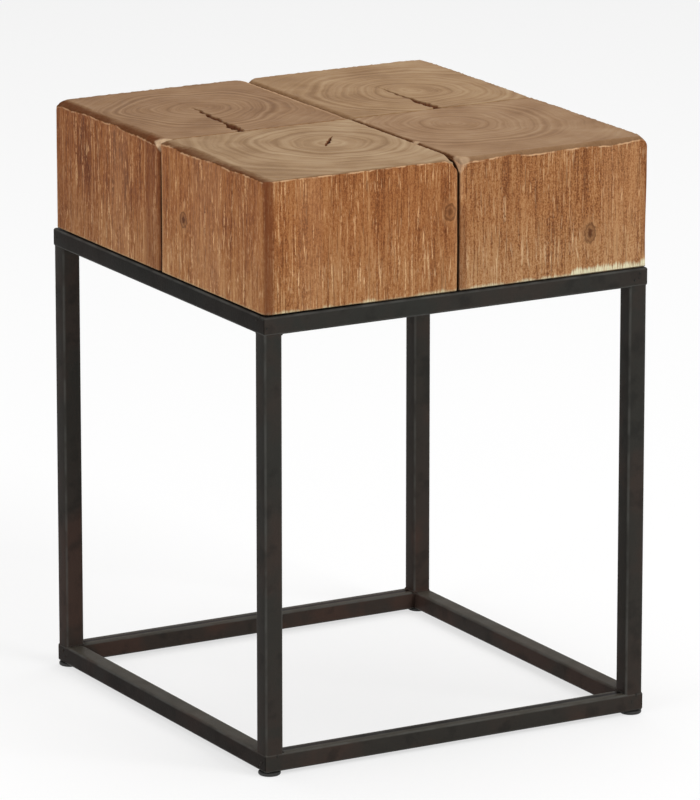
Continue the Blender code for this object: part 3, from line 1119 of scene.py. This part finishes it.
@dataclass
class SteelFrame:
    """The welded cube frame: two mitred rings of square tube and four legs between them."""

    finish: SteelFinish
    corner_radius: float = 2.0
    mitre_radius: float = 1.6
    arc_steps: int = 6
    leg_rows: int = 40
    rail_rows: int = 24
    weld_rows: int = 6
    heat_reach: float = 45.0
    weld_reach: float = 2.0
    leg_swell: float = 0.4
    # How strongly the legs' edges are worn and given a painted highlight
    leg_rub_and_highlight: float = 0.80
    seam_place: float = -0.8
    seam_width: float = 3.2
    seam_shade: float = 1.0
    leg_shade: float = 0.45
    rail_shade: float = 0.90
    inner_shade: float = 0.30

    BARS = ("support_bar_long", "support_bar_front", "support_bar_back")

    def __post_init__(self) -> None:
        """Makes the material that the whole frame shares."""
        self.material = self.finish.material()

    def outline(self, side: float) -> tuple[Array, Array]:
        """Rounded square outline of the tube about its middle.

        Args:
            side: outside width of the tube.

        Returns:
            The points, turning left, and which of them lie on a rounded corner.
        """
        half, radius = side / 2, self.corner_radius
        points, ridge = [], []
        for quarter in range(4):
            start = quarter * math.pi / 2
            middle = Vector((half - radius, half - radius))
            middle.rotate(Matrix.Rotation(start, 2))
            for step in range(self.arc_steps + 1):
                angle = start + step / self.arc_steps * math.pi / 2
                points.append((middle.x + radius * math.cos(angle), middle.y + radius * math.sin(angle)))
                ridge.append(math.sin(step / self.arc_steps * math.pi))
            if quarter == 0:
                seam = (1, 0.45, -0.45, -1)
                points += [(self.seam_place + self.seam_width * step, half) for step in seam]
                ridge += [0.0] * len(seam)
        return np.array(points), np.array(ridge)

    def flat(self, outward: Array, side: float) -> Array:
        """How much each outline point belongs to the flat face on one side of a tube."""
        return smooth(outward, side / 2 - self.corner_radius, side / 2)

    def loft(
        self, node: str, sections: Sequence[Array], ridge: Array, upward: Array, heat: Array
    ) -> None:
        """Joins sections of the same count into the closed tube that stands for a CAD node.

        Args:
            node: the CAD node.
            sections: outlines in order along the tube, in millimetres.
            ridge: how much each outline point lies on an edge.
            upward: how much each outline point faces up, which gives it dust and painted light; below zero, how much
                painted shade it gets.
            heat: how browned by welding each section is.
        """
        rows, around = len(sections), len(ridge)
        piece = make_object(node + "_tube", np.concatenate(sections) * MM, tube_faces(rows, around))
        mark(piece, "ridge", np.tile(ridge, rows), np.tile(upward, rows), np.repeat(heat, around))
        weld_doubles(piece)
        for face in piece.data.polygons:
            face.use_smooth = len(face.vertices) == 4
        hand_over(piece, self.material, [node])

    def half_sizes(self, ring: Ring) -> Array:
        """Half width and half depth of a ring, in millimetres."""
        return np.array((span(f"{ring.value}_rail_right")[1][0], span(f"{ring.value}_rail_back")[1][1]))

    def rail(self, ring: Ring, side: Side) -> None:
        """Builds one rail of a ring, with mitred ends that turn softly into the next rail.

        Args:
            ring: which ring.
            side: which side of it.
        """
        node = f"{ring.value}_rail_{side.word}"
        low, high = span(node)
        tube = high[2] - low[2]
        level = side in (Side.FRONT, Side.BACK)
        half_length, outer = self.half_sizes(ring) if level else self.half_sizes(ring)[::-1]
        points, ridge = self.outline(tube)
        depth = points[:, 0] - tube / 2
        rise = points[:, 1] + tube / 2 + low[2]
        # The ends turn about the mitre's own radius, and what lies deeper meets at a sharp mitre
        radius = self.mitre_radius
        arm = np.maximum(depth + radius, 0)
        soft = depth > -radius
        ends = []
        for angle in np.linspace(math.pi / 4, 0, self.arc_steps):
            run = half_length - radius + np.where(soft, arm * math.sin(angle), depth + radius)
            ends.append((run, np.where(soft, arm * math.cos(angle) - radius, depth)))
        straight = np.linspace(-1, 1, self.rail_rows) * (half_length - 1.5 * tube)
        middles = [(np.full(len(depth), run), depth) for run in straight]
        heat = np.exp((np.abs(straight) - half_length) / self.heat_reach)
        heat = np.pad(heat, len(ends), constant_values=1)
        turn = np.array(Matrix.Rotation(side.turn, 3, "Z").transposed())
        sections = [
            np.column_stack((run, -(outer + out), rise)) @ turn
            for run, out in [(-r, o) for r, o in ends] + middles + ends[::-1]
        ]
        # Tops get dust and painted light; the left rail's outer face and the right rail's inner face get painted
        # shade; a dark line runs along the tube's seam
        upward = self.flat(points[:, 1], tube)
        on_seam = (np.abs(points[:, 0] - self.seam_place) < self.seam_width / 2) & (upward == 1) & level
        shade = self.rail_shade * (side is Side.LEFT) * self.flat(points[:, 0], tube)
        shade = shade + self.inner_shade * (side is Side.RIGHT) * self.flat(-points[:, 0], tube)
        upward = np.where(on_seam, -self.seam_shade, upward - shade)
        # The top ring's upper faces lie under the blocks and get painted shade
        self.loft(node, sections, ridge, -np.abs(upward) if ring is Ring.TOP else upward, heat)

    def leg(self, corner: Corner) -> None:
        """Builds one leg, which runs into the rounded edges of both rings, as a weld that is ground flush.

        Args:
            corner: which corner.
        """
        node = "leg_" + corner.word
        low, high = span(node)
        foot = span("bottom_rail_front")[1][2] - self.corner_radius
        head = span("top_rail_front")[0][2] + self.corner_radius
        side = high[:2] - low[:2] + 2 * self.leg_swell
        points, ridge = self.outline(side[0])
        middle = (low + high)[:2] / 2
        inner = middle - corner.signs * side / 2
        overhang = self.half_sizes(Ring.TOP) - np.abs(middle + corner.signs * side / 2)
        ends = np.linspace(0, self.weld_reach, self.weld_rows)[:-1]
        rows = np.linspace(foot + self.weld_reach, head - self.weld_reach, self.leg_rows)
        rows = np.concatenate((foot + ends, rows, head - ends[::-1]))
        gaps = np.minimum(rows - foot, head - rows)
        sections = []
        for z, gap in zip(rows, gaps):
            flare = 1 + overhang / side * (1 - smooth(gap, 0, self.weld_reach))
            plan = inner + (points + middle - inner) * flare
            sections.append(np.column_stack((plan, np.full(len(points), z))))
        # The legs' left faces get painted shade, and their rounded edges the rubbed wear with its painted highlight
        shade = self.leg_shade * self.flat(-points[:, 0], side[0])
        self.loft(node, sections, ridge * self.leg_rub_and_highlight, -shade, np.exp(-gaps / self.heat_reach))

    def paint_bars(self, nodes: dict[str, bpy.types.Object]) -> None:
        """Paints the flat bars under the seat, whose CAD shape stays.

        Args:
            nodes: the CAD nodes by name.
        """
        for name in self.BARS:
            nodes[name].data.materials.clear()
            nodes[name].data.materials.append(self.material)
            LOG.info("node %s: painted", name)

    def build(self) -> None:
        """Builds the rings and the legs."""
        for ring in Ring:
            for side in Side:
                self.rail(ring, side)
        for corner in Corner:
            self.leg(corner)


class Pattern(NodeTree):
    """A Geometry Nodes tree that grows a plain mesh from a guide mesh."""

    KINDS = {
        float: "NodeSocketFloat",
        int: "NodeSocketInt",
        bpy.types.Object: "NodeSocketObject",
        bpy.types.Material: "NodeSocketMaterial",
    }

    def __init__(self, name: str, **sizes: type) -> None:
        """Makes the tree with its named inputs.

        Args:
            name: name of the tree.
            sizes: name and type of each input.
        """
        super().__init__(bpy.data.node_groups.new(name, "GeometryNodeTree"))
        sockets = self.tree.interface
        sockets.new_socket("guide", in_out="INPUT", socket_type="NodeSocketGeometry")
        sockets.new_socket("result", in_out="OUTPUT", socket_type="NodeSocketGeometry")
        self.keys = {
            key: sockets.new_socket(key, in_out="INPUT", socket_type=self.KINDS[kind]).identifier
            for key, kind in sizes.items()
        }
        self.inputs = self.add("NodeGroupInput").outputs

    def pick(self, kind: str, **links: Any) -> bpy.types.NodeSocket:
        """A random value for each point, between a least and a most vector or true at a given rate.

        Args:
            kind: type of the value, FLOAT_VECTOR or BOOLEAN.
            links: the node's inputs least and most, or rate.

        Returns:
            The value.
        """
        names = {"least": 0, "most": 1, "rate": "Probability"}
        inputs = {names[key]: value for key, value in links.items()}
        node = self.add("FunctionNodeRandomValue", inputs | {"Seed": self.inputs["seed"]}, data_type=kind)
        return node.outputs[3 if kind == "BOOLEAN" else 0]

    def end(self, geometry: bpy.types.NodeSocket) -> None:
        """Ends the tree in plain, smooth geometry with its material.

        Args:
            geometry: what the tree has made.
        """
        plain = self.add("GeometryNodeRealizeInstances", {0: geometry})
        soft = self.add("GeometryNodeSetShadeSmooth", {0: plain.outputs[0]})
        links = {"Geometry": soft.outputs[0], "Material": self.inputs["paint"]}
        self.add("NodeGroupOutput", {"result": self.add("GeometryNodeSetMaterial", links).outputs[0]})

    def grow(self, name: str, points: Array, edges: Sequence[Spot] = (), **values: Any) -> bpy.types.Object:
        """Runs the tree on a guide and keeps the result as a plain mesh.

        Args:
            name: name of the piece.
            points: corners of the guide in millimetres.
            edges: edges of the guide.
            values: the tree's inputs.

        Returns:
            The piece, with no modifier left on it.
        """
        piece = make_object(name, np.asarray(points) * MM, [], edges)
        guide = piece.data
        modifier = piece.modifiers.new("pattern", "NODES")
        modifier.node_group = self.tree
        for key, value in values.items():
            modifier[self.keys[key]] = value
        apply_modifiers(piece)
        bpy.data.meshes.remove(guide)
        return piece


def set_on_points(
    name: str, shape: bpy.types.Object, points: Array, seed: int, paint: bpy.types.Material
) -> bpy.types.Object:
    """Sets one shape on every guide point, each with its own turn, and takes the shape away.

    Args:
        name: name of the piece.
        shape: what is set there.
        points: the guide points in millimetres.
        seed: number that fixes the turns.
        paint: material of the piece.

    Returns:
        The piece.
    """
    pattern = Pattern("set_on_points", shape=bpy.types.Object, seed=int, paint=bpy.types.Material)
    source = pattern.add("GeometryNodeObjectInfo", {"Object": pattern.inputs["shape"]})
    turn = pattern.pick("FLOAT_VECTOR", least=(0, 0, 0), most=(0, 0, math.tau))
    links = {"Points": pattern.inputs["guide"], "Instance": source.outputs["Geometry"], "Rotation": turn}
    pattern.end(pattern.add("GeometryNodeInstanceOnPoints", links).outputs[0])
    piece = pattern.grow(name, points, shape=shape, seed=seed, paint=paint)
    bpy.data.objects.remove(shape)
    return piece


def turned(name: str, profile: Sequence[Spot], steps: int) -> bpy.types.Object:
    """Turns a half outline about the upright axis into a closed shape.

    Args:
        name: name of the shape.
        profile: radius and height in millimetres, from the lower middle to the upper middle.
        steps: facets round the axis.

    Returns:
        The mesh object.
    """
    angles = np.arange(steps) * math.tau / steps
    rows = [np.column_stack((r * np.cos(angles), r * np.sin(angles), np.full(steps, z))) for r, z in profile]
    return make_object(name, np.concatenate(rows) * MM, tube_faces(len(rows), steps))


@dataclass
class WeldBeads:
    """Weld beads in the inner corners at both ends of every leg, and the spatter left beside them."""

    material: bpy.types.Material
    frame: SteelFrame
    bead: float = 0.8
    bead_margin: float = 0.9
    bead_rise: float = 0.2
    spacing: float = 1.7
    gaps: float = 0.55
    lump_least: Place = (0.8, 0.8, 0.7)
    lump_most: Place = (1.6, 1.6, 1.3)
    spatter: int = 4
    spatter_along: Spot = (1.5, 15.0)
    spatter_rise: Spot = (2, 13)
    spatter_length: Spot = (0.2, 1.6)
    spatter_depth: float = 0.25
    seed: int = 5

    def pattern(self) -> Pattern:
        """A thin bead along each path, with lumps of random size on it.

        Returns:
            The pattern, with the inputs spacing, bead, gaps, seed and paint.
        """
        kinds = {"spacing": float, "bead": float, "gaps": float, "seed": int, "paint": bpy.types.Material}
        pattern = Pattern("weld_bead", **kinds)
        value = pattern.inputs
        path = pattern.add("GeometryNodeMeshToCurve", {"Mesh": value["guide"]}).outputs[0]
        links = {"Curve": path, "Length": value["spacing"]}
        even = pattern.add("GeometryNodeResampleCurve", links, mode="LENGTH").outputs[0]
        links = {"Resolution": 8, "Radius": value["bead"]}
        ring = pattern.add("GeometryNodeCurvePrimitiveCircle", links, mode="RADIUS").outputs[0]
        links = {"Curve": even, "Profile Curve": ring, "Fill Caps": True}
        core = pattern.add("GeometryNodeCurveToMesh", links).outputs[0]
        links = {"Geometry": even, "Selection": pattern.pick("BOOLEAN", rate=value["gaps"])}
        kept = pattern.add("GeometryNodeDeleteGeometry", links, domain="POINT").outputs[0]
        lump = pattern.add("GeometryNodeMeshIcoSphere", {"Radius": value["bead"], "Subdivisions": 2}).outputs[0]
        size = pattern.pick("FLOAT_VECTOR", least=self.lump_least, most=self.lump_most)
        links = {"Points": kept, "Instance": lump, "Scale": size}
        lumps = pattern.add("GeometryNodeInstanceOnPoints", links).outputs[0]
        both = pattern.add("GeometryNodeJoinGeometry")
        for source in (core, lumps):
            pattern.put(both.inputs[0], source)
        pattern.end(both.outputs[0])
        return pattern

    def paths(self) -> tuple[list[Place], list[Spot]]:
        """Beads along the inner faces of the leg ends and short strokes of spatter on the rings' corners.

        Returns:
            The guide's corners in millimetres and its edges.
        """
        draw = np.random.default_rng(self.seed)
        foot = span("bottom_rail_front")[1][2] + self.bead_rise
        head = span("top_rail_front")[0][2] - self.bead_rise
        points: list[Place] = []
        edges: list[Spot] = []
        for corner in Corner:
            low, high = span("leg_" + corner.word)
            half = (high[0] - low[0]) / 2 + self.frame.leg_swell
            near = self.bead_margin - half
            corners = np.array(((half, near), (half, half), (near, half))) * -corner.signs + (low + high)[:2] / 2
            for height in (foot, head):
                first = len(points)
                points += [(x, y, height) for x, y in corners]
                edges += [(first, first + 1), (first + 1, first + 2)]
            for ring in Ring:
                base = span(f"{ring.value}_rail_front")[0][2]
                for _ in range(self.spatter):
                    along, rise = draw.uniform(*self.spatter_along), base + draw.uniform(*self.spatter_rise)
                    inward = (along, self.spatter_depth) if draw.random() < 0.5 else (self.spatter_depth, along)
                    x, y = corner.signs * (self.frame.half_sizes(ring) - inward)
                    edges.append((len(points), len(points) + 1))
                    points += [(x, y, rise), (x, y, rise + draw.uniform(*self.spatter_length))]
        return points, edges

    def build(self) -> None:
        """Builds all the welds as one piece."""
        points, edges = self.paths()
        sizes = {"spacing": self.spacing * MM, "bead": self.bead * MM, "gaps": self.gaps}
        piece = self.pattern().grow("weld_beads", points, edges, **sizes, seed=self.seed, paint=self.material)
        hand_over(piece, self.material)


@dataclass(frozen=True)
class GlideFinish:
    """Dark matt plastic with a fine moulded grain and scuffs."""

    name: str
    dark: Colour = (0.020, 0.0195, 0.0185)
    scuffed: Colour = (0.042, 0.040, 0.037)
    relief: float = 0.0001

    GRAIN = Grain(2.5, 2)
    SCUFF = Grain(0.35, 3, (1, 1, 3))

    def material(self) -> bpy.types.Material:
        """Builds the finish.

        Returns:
            The material.
        """
        graph = Graph(bpy.data.materials.new(self.name))
        point = graph.millimetres()
        grain = graph.noise(point, self.GRAIN)
        scuff = graph.noise(point, self.SCUFF).step(0.50, 0.68)
        colour = graph.blend(scuff * 0.5, self.dark, self.scuffed)
        return graph.finish(colour, grain * 0.2 + 0.45, grain, self.relief, specular=0.3)


@dataclass(frozen=True)
class ZincFinish:
    """Bright zinc with fine turning marks and duller patches."""

    name: str
    bright: Colour = (0.56, 0.55, 0.52)
    dull: Colour = (0.36, 0.35, 0.32)
    relief: float = 0.00003

    CLOUD = Grain(0.5, 3)
    TURNING = Grain(6.0, 1, (1, 1, 4))

    def material(self) -> bpy.types.Material:
        """Builds the finish.

        Returns:
            The material.
        """
        graph = Graph(bpy.data.materials.new(self.name))
        point = graph.millimetres()
        cloud = graph.noise(point, self.CLOUD)
        colour = graph.blend(cloud.step(0.40, 0.66), self.bright, self.dull)
        turning = graph.noise(point, self.TURNING)
        return graph.finish(colour, cloud * 0.30 + 0.18, turning, self.relief, metallic=1.0)


@dataclass
class FloorGlides:
    """The four round glides pushed into the bottom ring's corners."""

    finish: GlideFinish
    stem: float = 2.5
    stem_chamfer: float = 0.6
    clearance: float = 0.3
    facets: int = 40
    seed: int = 3

    # Inset and rise of the disc's rounded lower edge, and inset and drop of its upper edge
    LOWER_EDGE = ((2.6, 0.0), (1.5, 0.08), (0.75, 0.32), (0.22, 0.80), (0.0, 1.35))
    UPPER_EDGE = ((0.0, 0.75), (0.15, 0.35), (0.50, 0.06), (1.0, 0.0))

    def build(self) -> None:
        """Builds the four glides as one piece."""
        nodes = ["glide_" + corner.word for corner in Corner]
        boxes = [span(node) for node in nodes]
        places = np.array([(low + high) / 2 * (1, 1, 0) for low, high in boxes])
        low, high = boxes[0]
        radius, top = (high[0] - low[0]) / 2, high[2]
        disc = span("bottom_rail_front")[0][2] - self.clearance
        profile = [(radius - inset, rise) for inset, rise in self.LOWER_EDGE]
        profile += [(radius - inset, disc - drop) for inset, drop in self.UPPER_EDGE]
        profile += [(self.stem, disc), (self.stem, top - self.stem_chamfer), (self.stem - self.stem_chamfer, top)]
        shape = turned("glide_shape", profile, self.facets)
        material = self.finish.material()
        piece = set_on_points("floor_glides", shape, places, self.seed, material)
        hand_over(piece, material, nodes)


@dataclass
class SeatScrews:
    """The eight pan-head screws that hold the blocks to the bars, with a cross recess."""

    finish: ZincFinish
    head_height: float = 2.6
    head_dome: float = 1.7
    head_chamfer: float = 0.25
    shank: float = 2.0
    tip_length: float = 5.0
    tip_radius: float = 0.5
    slot_width: float = 1.0
    slot_length: float = 3.6
    slot_depth: float = 1.4
    slot_taper: Spot = (0.8, 0.7)
    cut_margin: float = 1.0
    facets: int = 20
    seed: int = 9

    DOME_ANGLES = (8, 30, 50, 70, 90)

    def plain(self, radius: float, length: float) -> bpy.types.Object:
        """One screw that points up, with its seat at the origin and no recess.

        Args:
            radius: radius of the head.
            length: length from the seat to the tip.

        Returns:
            The mesh object.
        """
        rim = self.head_dome - self.head_height
        angles = np.radians(self.DOME_ANGLES)
        profile = [(radius * math.sin(a), rim - self.head_dome * math.cos(a)) for a in angles]
        profile += [(radius, -self.head_chamfer), (radius - self.head_chamfer, 0.0), (self.shank, 0.0)]
        profile += [(self.shank, length - self.tip_length), (self.tip_radius, length)]
        return turned("screw_shape", profile, self.facets)

    def cross(self) -> bpy.types.Object:
        """The cross that is cut into the head.

        Returns:
            The mesh object.
        """
        half, arm = self.slot_width / 2, self.slot_length / 2
        outline = [(half, arm), (-half, arm), (-half, half), (-arm, half), (-arm, -half), (-half, -half)]
        outline = np.array(outline + [(-x, -y) for x, y in outline])
        count = len(outline)
        outer = np.column_stack((outline, np.full(count, -self.head_height - self.cut_margin)))
        floor = np.full(count, self.slot_depth - self.head_height)
        inner = np.column_stack((outline * self.slot_taper, floor))
        cutter = make_object("cross_shape", np.concatenate((outer, inner)) * MM, tube_faces(2, count))
        weld_doubles(cutter)
        return cutter

    def build(self) -> None:
        """Builds the eight screws as one piece."""
        nodes = [f"screw_{corner.word}_{spot}" for corner in Corner for spot in ("side", "middle")]
        boxes = [span(node) for node in nodes]
        places = [(*((low + high)[:2] / 2), low[2] + self.head_height) for low, high in boxes]
        low, high = boxes[0]
        screw = self.plain((high[0] - low[0]) / 2, high[2] - low[2] - self.head_height)
        cutter = self.cross()
        cut = screw.modifiers.new("cross", "BOOLEAN")
        cut.operation, cut.solver, cut.object = "DIFFERENCE", "EXACT", cutter
        apply_modifiers(screw)
        bpy.data.objects.remove(cutter)
        material = self.finish.material()
        piece = set_on_points("seat_screws", screw, np.array(places), self.seed, material)
        hand_over(piece, material, nodes)


@dataclass
class Studio:
    """Plain pale floor, soft lights and the camera at the photograph's angle, in metres and degrees."""

    camera_place: Place = (-2.5479, -4.5103, 1.5794)
    camera_yaw: float = 29.492
    camera_pitch: float = 14.444
    lens: float = 295.57
    sensor: float = 36.0
    sight: float = 60.0
    floor_half: float = 14.0
    floor_colour: Colour = (0.88, 0.88, 0.88)
    floor_glow: float = 0.66
    sky: float = 0.42

    # Name, place, aim, side and watts of each soft square lamp
    LAMPS = (
        ("key", (1.6, -3.4, 3.0), (0, 0, 0.25), 2.2, 104),
        ("fill", (-3.6, -1.0, 1.0), (0, 0, 0.25), 2.0, 46),
        ("overhead", (0.4, 0.7, 4.2), (0.1, 0.2, 0), 3.2, 82),
    )

    def camera(self) -> None:
        """Sets up the camera."""
        data = bpy.data.cameras.new("photo_camera")
        data.lens, data.sensor_width, data.clip_end = self.lens, self.sensor, self.sight
        camera = bpy.data.objects.new("photo_camera", data)
        camera.location = self.camera_place
        camera.rotation_euler = (math.radians(90 - self.camera_pitch), 0, math.radians(-self.camera_yaw))
        bpy.context.scene.collection.objects.link(camera)
        bpy.context.scene.camera = camera

    def lamps(self) -> None:
        """Hangs the lamps."""
        for name, place, aim, size, watts in self.LAMPS:
            data = bpy.data.lights.new(name, "AREA")
            data.size, data.energy = size, watts
            lamp = bpy.data.objects.new(name, data)
            lamp.location = place
            lamp.rotation_euler = (Vector(aim) - Vector(place)).to_track_quat("-Z", "Y").to_euler()
            bpy.context.scene.collection.objects.link(lamp)

    def floor(self) -> None:
        """Lays the floor, which is clear from below so that the underside can be looked at."""
        corners = [corner.signs * self.floor_half for corner in Corner]
        floor = make_object("studio_floor", np.array([(x, y, 0) for x, y in corners]), [(0, 1, 2, 3)])
        graph = Graph(bpy.data.materials.new("studio_floor"))
        bounce = graph.out("BsdfDiffuse", {"Color": self.floor_colour})
        shaded = graph.out("BsdfDiffuse", {"Color": (1 - self.floor_glow,) * 3})
        glow = graph.out("Emission", {"Strength": self.floor_glow})
        pale = graph.out("AddShader", {0: shaded, 1: glow})
        lit = graph.out("MixShader", {0: graph.seen(), 1: bounce, 2: pale})
        behind = graph.out("NewGeometry", {}, "Backfacing")
        clear = graph.out("BsdfTransparent", {})
        graph.add("OutputMaterial", {"Surface": graph.out("MixShader", {0: behind, 1: lit, 2: clear})})
        floor.data.materials.append(graph.owner)

    def world(self) -> None:
        """Sets an even sky that looks white to the camera and in reflections."""
        bpy.context.scene.world = bpy.data.worlds.new("studio_sky")
        graph = Graph(bpy.context.scene.world)
        level = graph.seen() * (1 - self.sky) + self.sky
        graph.add("OutputWorld", {"Surface": graph.out("Background", {"Strength": level})})

    def build(self) -> None:
        """Sets up everything that isn't the stool."""
        bpy.context.scene.view_settings.view_transform = "Standard"
        self.camera()
        self.floor()
        self.world()
        self.lamps()


def seat_blocks() -> list[SeatBlock]:
    """The four blocks with their own rings, knots, checks and wear.

    Returns:
        The blocks, ready to be built.
    """
    # Edges that face away from the light, on the left and at the darker seams, get a high tone for painted shade; the
    # pale seams face the light and get a tone below nought for a painted highlight
    left = EdgeWearAndShade(9.0, 2.8, 0.92, 0.60, 0.50)
    near_left = EdgeWearAndShade(10.5, 1.8, 0.95, 0.70, 0.70)
    front = EdgeWearAndShade(2.6, 0.6, 0.30, 1.0, 0.6)
    right_front = EdgeWearAndShade(3.2, 3.1, 0.20, 1.0, 0.6)
    far = EdgeWearAndShade(3.8, 3.8, 0.55, 0.30)
    seam = EdgeWearAndShade(0.9, 0.9, 0.20, 0.30)
    closed_seam = EdgeWearAndShade(0.5, 0.5, 0.0, 0.50)
    dark_seam = EdgeWearAndShade(2.0, 2.2, 0.85, 0.10)
    soft_seam = EdgeWearAndShade(4.5, 2.2, 0.45, 0.10)
    pale_seam = EdgeWearAndShade(4.0, 0.9, -0.55, 0.90, 0.3)
    light_seam = EdgeWearAndShade(3.0, 0.8, -0.30, 0.30)
    return [
        SeatBlock(
            Corner.FRONT_LEFT,
            WoodFinish(
                "wood_front_left",
                (-59.3, -73.5),
                11.5,
                1.35,
                top_slope=0.0008,
                tint=(0.93, 0.94, 0.89),
                top_tint=(1.09, 1.18, 1.22),
                knots=(
                    Knot((-173.5, -44.5, 423.8), (0, 1, 0), 5.6, 6.0),
                    Knot((-7.8, -178.5, 438.0), (1, 0, 0), 4.8, 6.6, 0.7),
                ),
            ),
            {Side.LEFT: near_left, Side.FRONT: front, Side.RIGHT: light_seam, Side.BACK: closed_seam},
            seed=11,
            slit_step=0.58,
            chips=(Chip((-0.8, -178.5, BLOCK_TOP), (14, 26, 12), (-2.2, 1.2, -2.6)),),
            checks=(DryingCheck((-68, -86), (-47, -59), (0.7, 2.8, 3.6, 2.4, 0.6), 14),),
            posts={
                Corner.FRONT_LEFT: Post(6.0, 0.35, -0.6),
                Corner.BACK_LEFT: Post(3.5, 0.1, 2.6),
                Corner.FRONT_RIGHT: Post(1.2, 0.2, 0.8),
            },
            hearts=(
                HeartBand((-178, -190, 360), (-165.5, -174.5, 490), 1.0),
                HeartBand((-180, -9.5, 360), (-171, -4, 490), -0.8),
                HeartBand((-4, -190, 360), (4, -177, 490), -0.25),
                HeartBand((-180, -108, 360), (-171, -58, 490), -0.13),
                HeartBand((-180, -168, 360), (-171, -132, 490), 0.08),
                HeartBand((-144, -190, 360), (-122, -176, 490), -0.14),
                HeartBand((-120, -190, 360), (-100, -176, 490), 0.10),
                HeartBand((-33, -190, 360), (-9, -176, 490), 0.08),
            ),
        ),
        SeatBlock(
            Corner.FRONT_RIGHT,
            WoodFinish(
                "wood_front_right",
                (65.3, -61.1),
                7.5,
                0.85,
                contrast=1.06,
                streaks=0.72,
                grit=0.34,
                tint=(0.97, 1.07, 1.11),
                top_tint=(0.92, 0.90, 0.88),
                shift=(60, 0, 0),
                knots=(Knot((121.1, -178.5, 406.5), (1, 0, 0), 5.0, 7.6),),
            ),
            {Side.LEFT: dark_seam, Side.FRONT: right_front, Side.RIGHT: far, Side.BACK: seam},
            seed=12,
            chips=(
                Chip((0.8, -178.5, BLOCK_TOP), (13, 14, 15), (2.5, 2.5, -2.5), 0.45),
                Chip((0.8, -108.0, BLOCK_TOP), (5, 7, 5), (1.2, 0, -1.2), 0.80),
                Chip((173.5, -178.5, 468.0), (24, 24, 80), (1.0, 0, 0)),
                Chip((174.5, -178.5, BLOCK_TOP), (11, 22, 9), (-1.8, 1.6, -1.7)),
            ),
            posts={
                Corner.FRONT_LEFT: Post(1.8, 0.4, 0.3),
                Corner.FRONT_RIGHT: Post(0.8, 0.6, 0.0),
                Corner.BACK_RIGHT: Post(4, 0.6, 1.6),
            },
            hearts=(
                HeartBand((-4, -190, 360), (8, -176, 442), 0.55),
                HeartBand((-4, -190, 446), (3.5, -176, 490), -0.6),
                HeartBand((169.5, -190, 385), (180, -170, 478), 0.30),
                HeartBand((11, -190, 360), (51, -176, 490), 0.10),
                HeartBand((132, -190, 360), (167, -176, 490), -0.12),
            ),
            torn_feet=(
                TornFoot((142.0, -178.5, BLOCK_FOOT), 52.0, 4.2),
                TornFoot((70.0, -178.5, BLOCK_FOOT), 34.0, 2.0),
            ),
        ),
        SeatBlock(
            Corner.BACK_RIGHT,
            WoodFinish(
                "wood_back_right",
                (98.0, 67.2),
                8.5,
                1.0,
                top_slope=0.0006,
                top_tint=(1.03, 1.06, 1.03),
                shift=(0, 90, 0),
            ),
            {Side.LEFT: soft_seam, Side.FRONT: seam, Side.RIGHT: far, Side.BACK: far},
            seed=13,
            checks=(DryingCheck((80.7, 90.5), (82.7, -4.2), (0.7, 2.4, 3.2, 4.2, 8.0, 7.0), 26, 0.6),),
            posts={
                Corner.BACK_RIGHT: Post(5, 0.7, 2.2),
                Corner.BACK_LEFT: Post(4, 0.5, 1.2),
                Corner.FRONT_RIGHT: Post(4, 0.5, 2.4),
            },
            chips=(Chip((0.8, 178.5, BLOCK_TOP), (16, 14, 16), (5.0, -4.0, -3.0)),),
        ),
        SeatBlock(
            Corner.BACK_LEFT,
            WoodFinish(
                "wood_back_left",
                (-87.7, 87.9),
                6.5,
                1.05,
                contrast=1.12,
                streaks=1.2,
                tint=(0.80, 0.76, 0.69),
                top_tint=(0.83, 0.78, 0.73),
                shift=(40, 40, 0),
            ),
            {Side.LEFT: left, Side.FRONT: closed_seam, Side.RIGHT: pale_seam, Side.BACK: far},
            seed=14,
            checks=(
                DryingCheck(
                    (-89.8, 95.0), (-97.8, -4.2), (0.6, 2.6, 4.4, 5.6, 5.8, 1.8, 6.8, 8.6, 6.0), 30, 1.5
                ),
            ),
            chips=(
                Chip((-171.5, -4.2, BLOCK_TOP), (12, 16, 11), (2.2, 3.2, -2.8), 0.85),
                Chip((-0.8, 178.5, BLOCK_TOP), (12, 12, 14), (-2.0, -3.0, -2.6)),
            ),
            posts={
                Corner.BACK_LEFT: Post(4.5, 0.7, 2.5),
                Corner.FRONT_LEFT: Post(3.0, 0.5, 0.6),
                Corner.BACK_RIGHT: Post(4, 0.5, 1.2),
            },
            hearts=(
                HeartBand((-176, -6, 360), (-165, 20, 490), 0.55),
                HeartBand((-176, 158, 360), (-165, 180, 490), 0.35),
                HeartBand((-176, 101, 360), (-165, 150, 490), 0.14),
                HeartBand((-176, 149, 360), (-165, 151.5, 472), 0.90),
                HeartBand((-176, 48, 360), (-165, 78, 490), -0.16),
            ),
        ),
    ]


def main() -> None:
    """Builds the stool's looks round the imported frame, piece by piece."""
    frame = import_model()
    LOG.info("frame with %d nodes", len(frame["nodes"]))
    Studio().build()
    for block in seat_blocks():
        block.build()
    steel = SteelFrame(SteelFinish("frame_paint"))
    steel.build()
    steel.paint_bars(frame["nodes"])
    WeldBeads(steel.material, steel).build()
    FloorGlides(GlideFinish("glide_plastic")).build()
    SeatScrews(ZincFinish("screw_zinc")).build()


if __name__ == "__main__":
    logging.basicConfig(level=logging.INFO, format="%(name)s: %(message)s")
    main()
